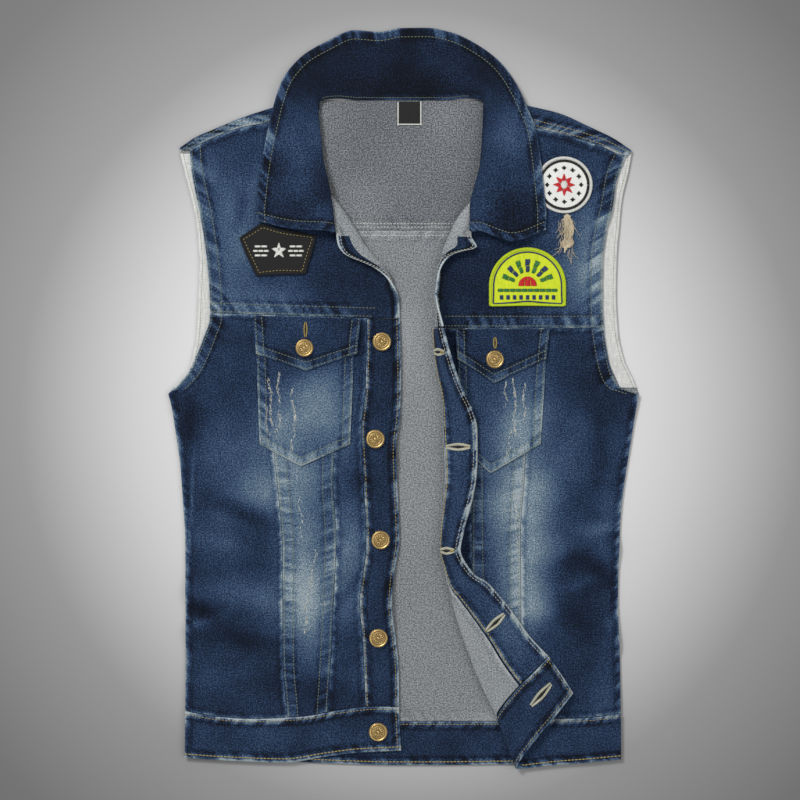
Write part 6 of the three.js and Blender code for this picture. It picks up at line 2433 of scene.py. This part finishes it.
@dataclass
class SmallTrim:
    """The neck label, the frayed spot and the rubbed threads."""

    def label(self) -> None:
        """Makes the plain neck label with its cream edge."""
        outline = Outline(*(level(edge) for edge in NECK_LABEL))
        cloth = Cloth(
            "neck_label", outline.grid(level(DENIM + LAYER_GAP), LABEL, 1.2), LABEL,
            outside="label_black", inside="label_cream", crumple=0.1, seed=121,
        )
        cloth.build("label_black", rests_on=["back_yoke"])
        edging = Sewing("neck_label_edging")
        for edge in (Edge.LEFT, Edge.RIGHT, Edge.BOTTOM):
            edging.satin(*cloth.row(edge, 0.9), Thread.WHITE, 1.6, Stitch(0.6, 1.6, 0.7, 0.5))
        edging.build()

    def frayed(self) -> None:
        """Makes the frayed spot: pale ground threads, and loose ones that curl over it."""
        outline = Outline(*(level(edge) for edge in FRAYED_SPOT))
        points = outline.grid(lambda x, y: top_of_fronts(x, y) + 2 * LAYER_GAP, LABEL, 1.6)
        cloth = Cloth(
            "frayed_spot", points, LABEL, outside="frayed_cotton", inside="frayed_cotton",
            crumple=0.35, seed=131,
        )
        x, y = points[:-1, :-1, 0], points[:-1, :-1, 1]
        middle = 162.5 + 3.0 * noise(y, 0 * y, 12, 9)
        ragged = (4.6 + 2.4 * noise(y, 0 * y, 5, 4)) * smooth((y - 143) / 10) * smooth((188 - y) / 12)
        cloth.keep = np.abs(x - middle) < np.maximum(ragged, 1.4)
        cloth.build("frayed_cotton", rests_on=["front_yoke_left"])
        loose = Sewing("frayed_threads")
        thin = Stitch(pitch=1.1, length=1.5, width=0.42, height=0.42, sink=0.0)
        steps = 14
        random = np.random.default_rng(7)
        for _ in range(46):
            x0, y0 = random.uniform(155, 170), random.uniform(147, 182)
            turn, bend = random.uniform(-2.2, -0.9), random.uniform(-0.09, 0.09)
            length = random.uniform(7, 17)
            heading = turn + bend * np.linspace(0, length, steps)
            x = x0 + np.cumsum(np.cos(heading)) * length / steps
            y = y0 + np.cumsum(np.sin(heading)) * length / steps
            z = top_of_fronts(x, y) + 1.5 + 1.1 * np.sin(np.linspace(0, math.pi, steps))
            loose.run(points_of(x, y, z), np.tile(UP, (steps, 1)), Thread.FRAYED, thin)
        loose.build()

    def rubbed(self) -> None:
        """Makes the pale threads that show where the cloth is scratched."""
        sewing = Sewing("rubbed_threads")
        thin = Stitch(pitch=1, length=3, width=0.38, height=0.3, sink=0.05)
        random = np.random.default_rng(11)
        right = POCKET_RIGHT, POCKET_RIGHT.bag(), FrontBody().right()[1]
        left = POCKET_LEFT, POCKET_LEFT.bag(), FrontBody().left()[1]
        for x1, y1, x2, y2, width, amount in zip(*SCRATCHES.values()):
            pocket, bag, front = right if x1 < 0 else left
            count = round(math.hypot(x2 - x1, y2 - y1) * amount * 2.6)
            share = random.uniform(0, 1, count) ** random.choice([0.7, 1.0, 1.4])
            x = mix(x1, x2, share) + random.normal(0, width * 0.55, count) + 1.1 * np.sin(share * 9 + x1)
            points, up = (bag if y1 > pocket.bag_sizes[-1] + 6 else front).near(x, mix(y1, y2, share))
            along = unit(points_of(x2 - x1 + random.normal(0, 2, count), y2 - y1, 0 * x))
            half = count // 2
            for cut, thread, longest in (
                (slice(0, half), Thread.WHITE, 3.0), (slice(half, count), Thread.ECRU, 4.0),
            ):
                lengths = random.uniform(0.8, longest, len(x[cut]))
                sewing.add(points[cut], along[cut], up[cut], thread, thin, lengths)
        sewing.build()

    def build(self) -> None:
        """Makes the small trim."""
        self.label()
        self.frayed()
        self.rubbed()


POCKET_RIGHT = ChestPocket(
    "right", bag_sizes=(-147.6, -48, -143.6, -52.6, -102, -46.5, -68.6), top=62,
    flap_sizes=(-150, -41.6, -147, -46, -97, 44, 27), chest=chest_right, hole=(-97.4, 76, 61),
)
POCKET_LEFT = ChestPocket(
    "left", bag_sizes=(144, 54, 138, 56, 87.4, -46, -75.7), top=50,
    flap_sizes=(147, 52, 143, 54, 91, 39, 14.6), chest=chest_left, hole=(91.9, 61, 49.5),
)


@dataclass
class Studio:
    """The plain pale floor with a painted pool of light, the soft lights and the camera straight above."""

    floor_size: float = 6.0
    camera_height: float = 2.4
    frame_width: float = 0.8
    picture_middle: tuple[float, float, float] = (-0.003, -0.002, 0.006)

    def floor(self) -> None:
        """Makes the floor, with a painted pool of light that leaves it a little paler about the middle than
        at its corners.
        """
        mesh = bpy.data.meshes.new("floor")
        corners = [(x, y, FLOOR_LEVEL) for x, y in box_at(0, 0, self.floor_size, self.floor_size)]
        mesh.from_pydata(corners, [], [(0, 1, 2, 3)])
        made = bpy.data.objects.new("floor", mesh)
        bpy.context.scene.collection.objects.link(made)
        surface = Surface("floor")
        place = surface.place(cloth=False)
        oval = surface.mapped(place, Location=(-0.014, 0.02, 0), Scale=(1.5, 1.45, 1))
        out = surface.add("ShaderNodeVectorMath", {0: oval}, operation="LENGTH").outputs["Value"]
        # Greys of a painted pool of light, palest about the middle.
        painted_light_greys = ((0.0, 226), (0.3, 218), (0.42, 197), (0.5, 176), (0.59, 145), (0.8, 112), (1.0, 98))
        surface.dress(surface.ramp(out, [(at, (grey, grey, grey)) for at, grey in painted_light_greys]), 0.9)
        mesh.materials.append(surface.material)

    def light(self, name: str, place: tuple[float, float, float], size: float, power: float) -> None:
        """Hangs a square soft light that faces the vest.

        Args:
            name: the light's name.
            place: where it hangs, in metres.
            size: its side, in metres.
            power: its power, in watts.
        """
        lamp = bpy.data.lights.new(name, "AREA")
        lamp.size, lamp.energy = size, power
        made = bpy.data.objects.new(name, lamp)
        made.location = place
        made.rotation_euler = (-Vector(place)).to_track_quat("-Z", "Y").to_euler()
        bpy.context.scene.collection.objects.link(made)

    def camera(self) -> None:
        """Places the camera so that its frame is the photograph's."""
        lens = bpy.data.cameras.new("camera")
        lens.lens = lens.sensor_width * self.camera_height / self.frame_width
        lens.clip_end = 50
        made = bpy.data.objects.new("camera", lens)
        made.location = Vector(self.picture_middle) + Vector((0, 0, self.camera_height))
        bpy.context.scene.collection.objects.link(made)
        bpy.context.scene.camera = made

    def build(self) -> None:
        """Makes the studio."""
        world = bpy.data.worlds.new("studio")
        world.use_nodes = True
        sky = world.node_tree.nodes["Background"]
        sky.inputs["Color"].default_value = (1, 1, 1, 1)
        sky.inputs["Strength"].default_value = 0.45
        scene = bpy.context.scene
        scene.world = world
        scene.view_settings.view_transform = "Standard"
        self.light("key", (-1.1, 1.3, 1.9), 0.7, 42)
        self.light("fill", (1.5, -0.4, 2.0), 1.8, 14)
        self.camera()
        self.floor()


def main() -> None:
    """Builds the finishes, the vest's pieces and the studio in order."""
    logging.basicConfig(level=logging.INFO, format="%(message)s")
    make_finishes()
    Studio().build()
    yokes = (
        FrontYoke(
            "front_yoke_right", -1, armhole_front_right, chest_right, shoulder_seam_right,
            LAPEL_RIGHT, (1.6, 9.8), 141,
        ),
        FrontYoke(
            "front_yoke_left", 1, armhole_front_left, chest_left, shoulder_seam_left,
            LAPEL_LEFT, (2.0, 11.6), 151,
        ),
    )
    for part in (
        Back(), FrontBody(), *yokes, TurnedLeftEdge(), POCKET_RIGHT, POCKET_LEFT,
        Collar(), Buttons(), Patches(), SmallTrim(),
    ):
        part.build()
        log.info("made %s", type(part).__name__)


if __name__ == "__main__":
    main()
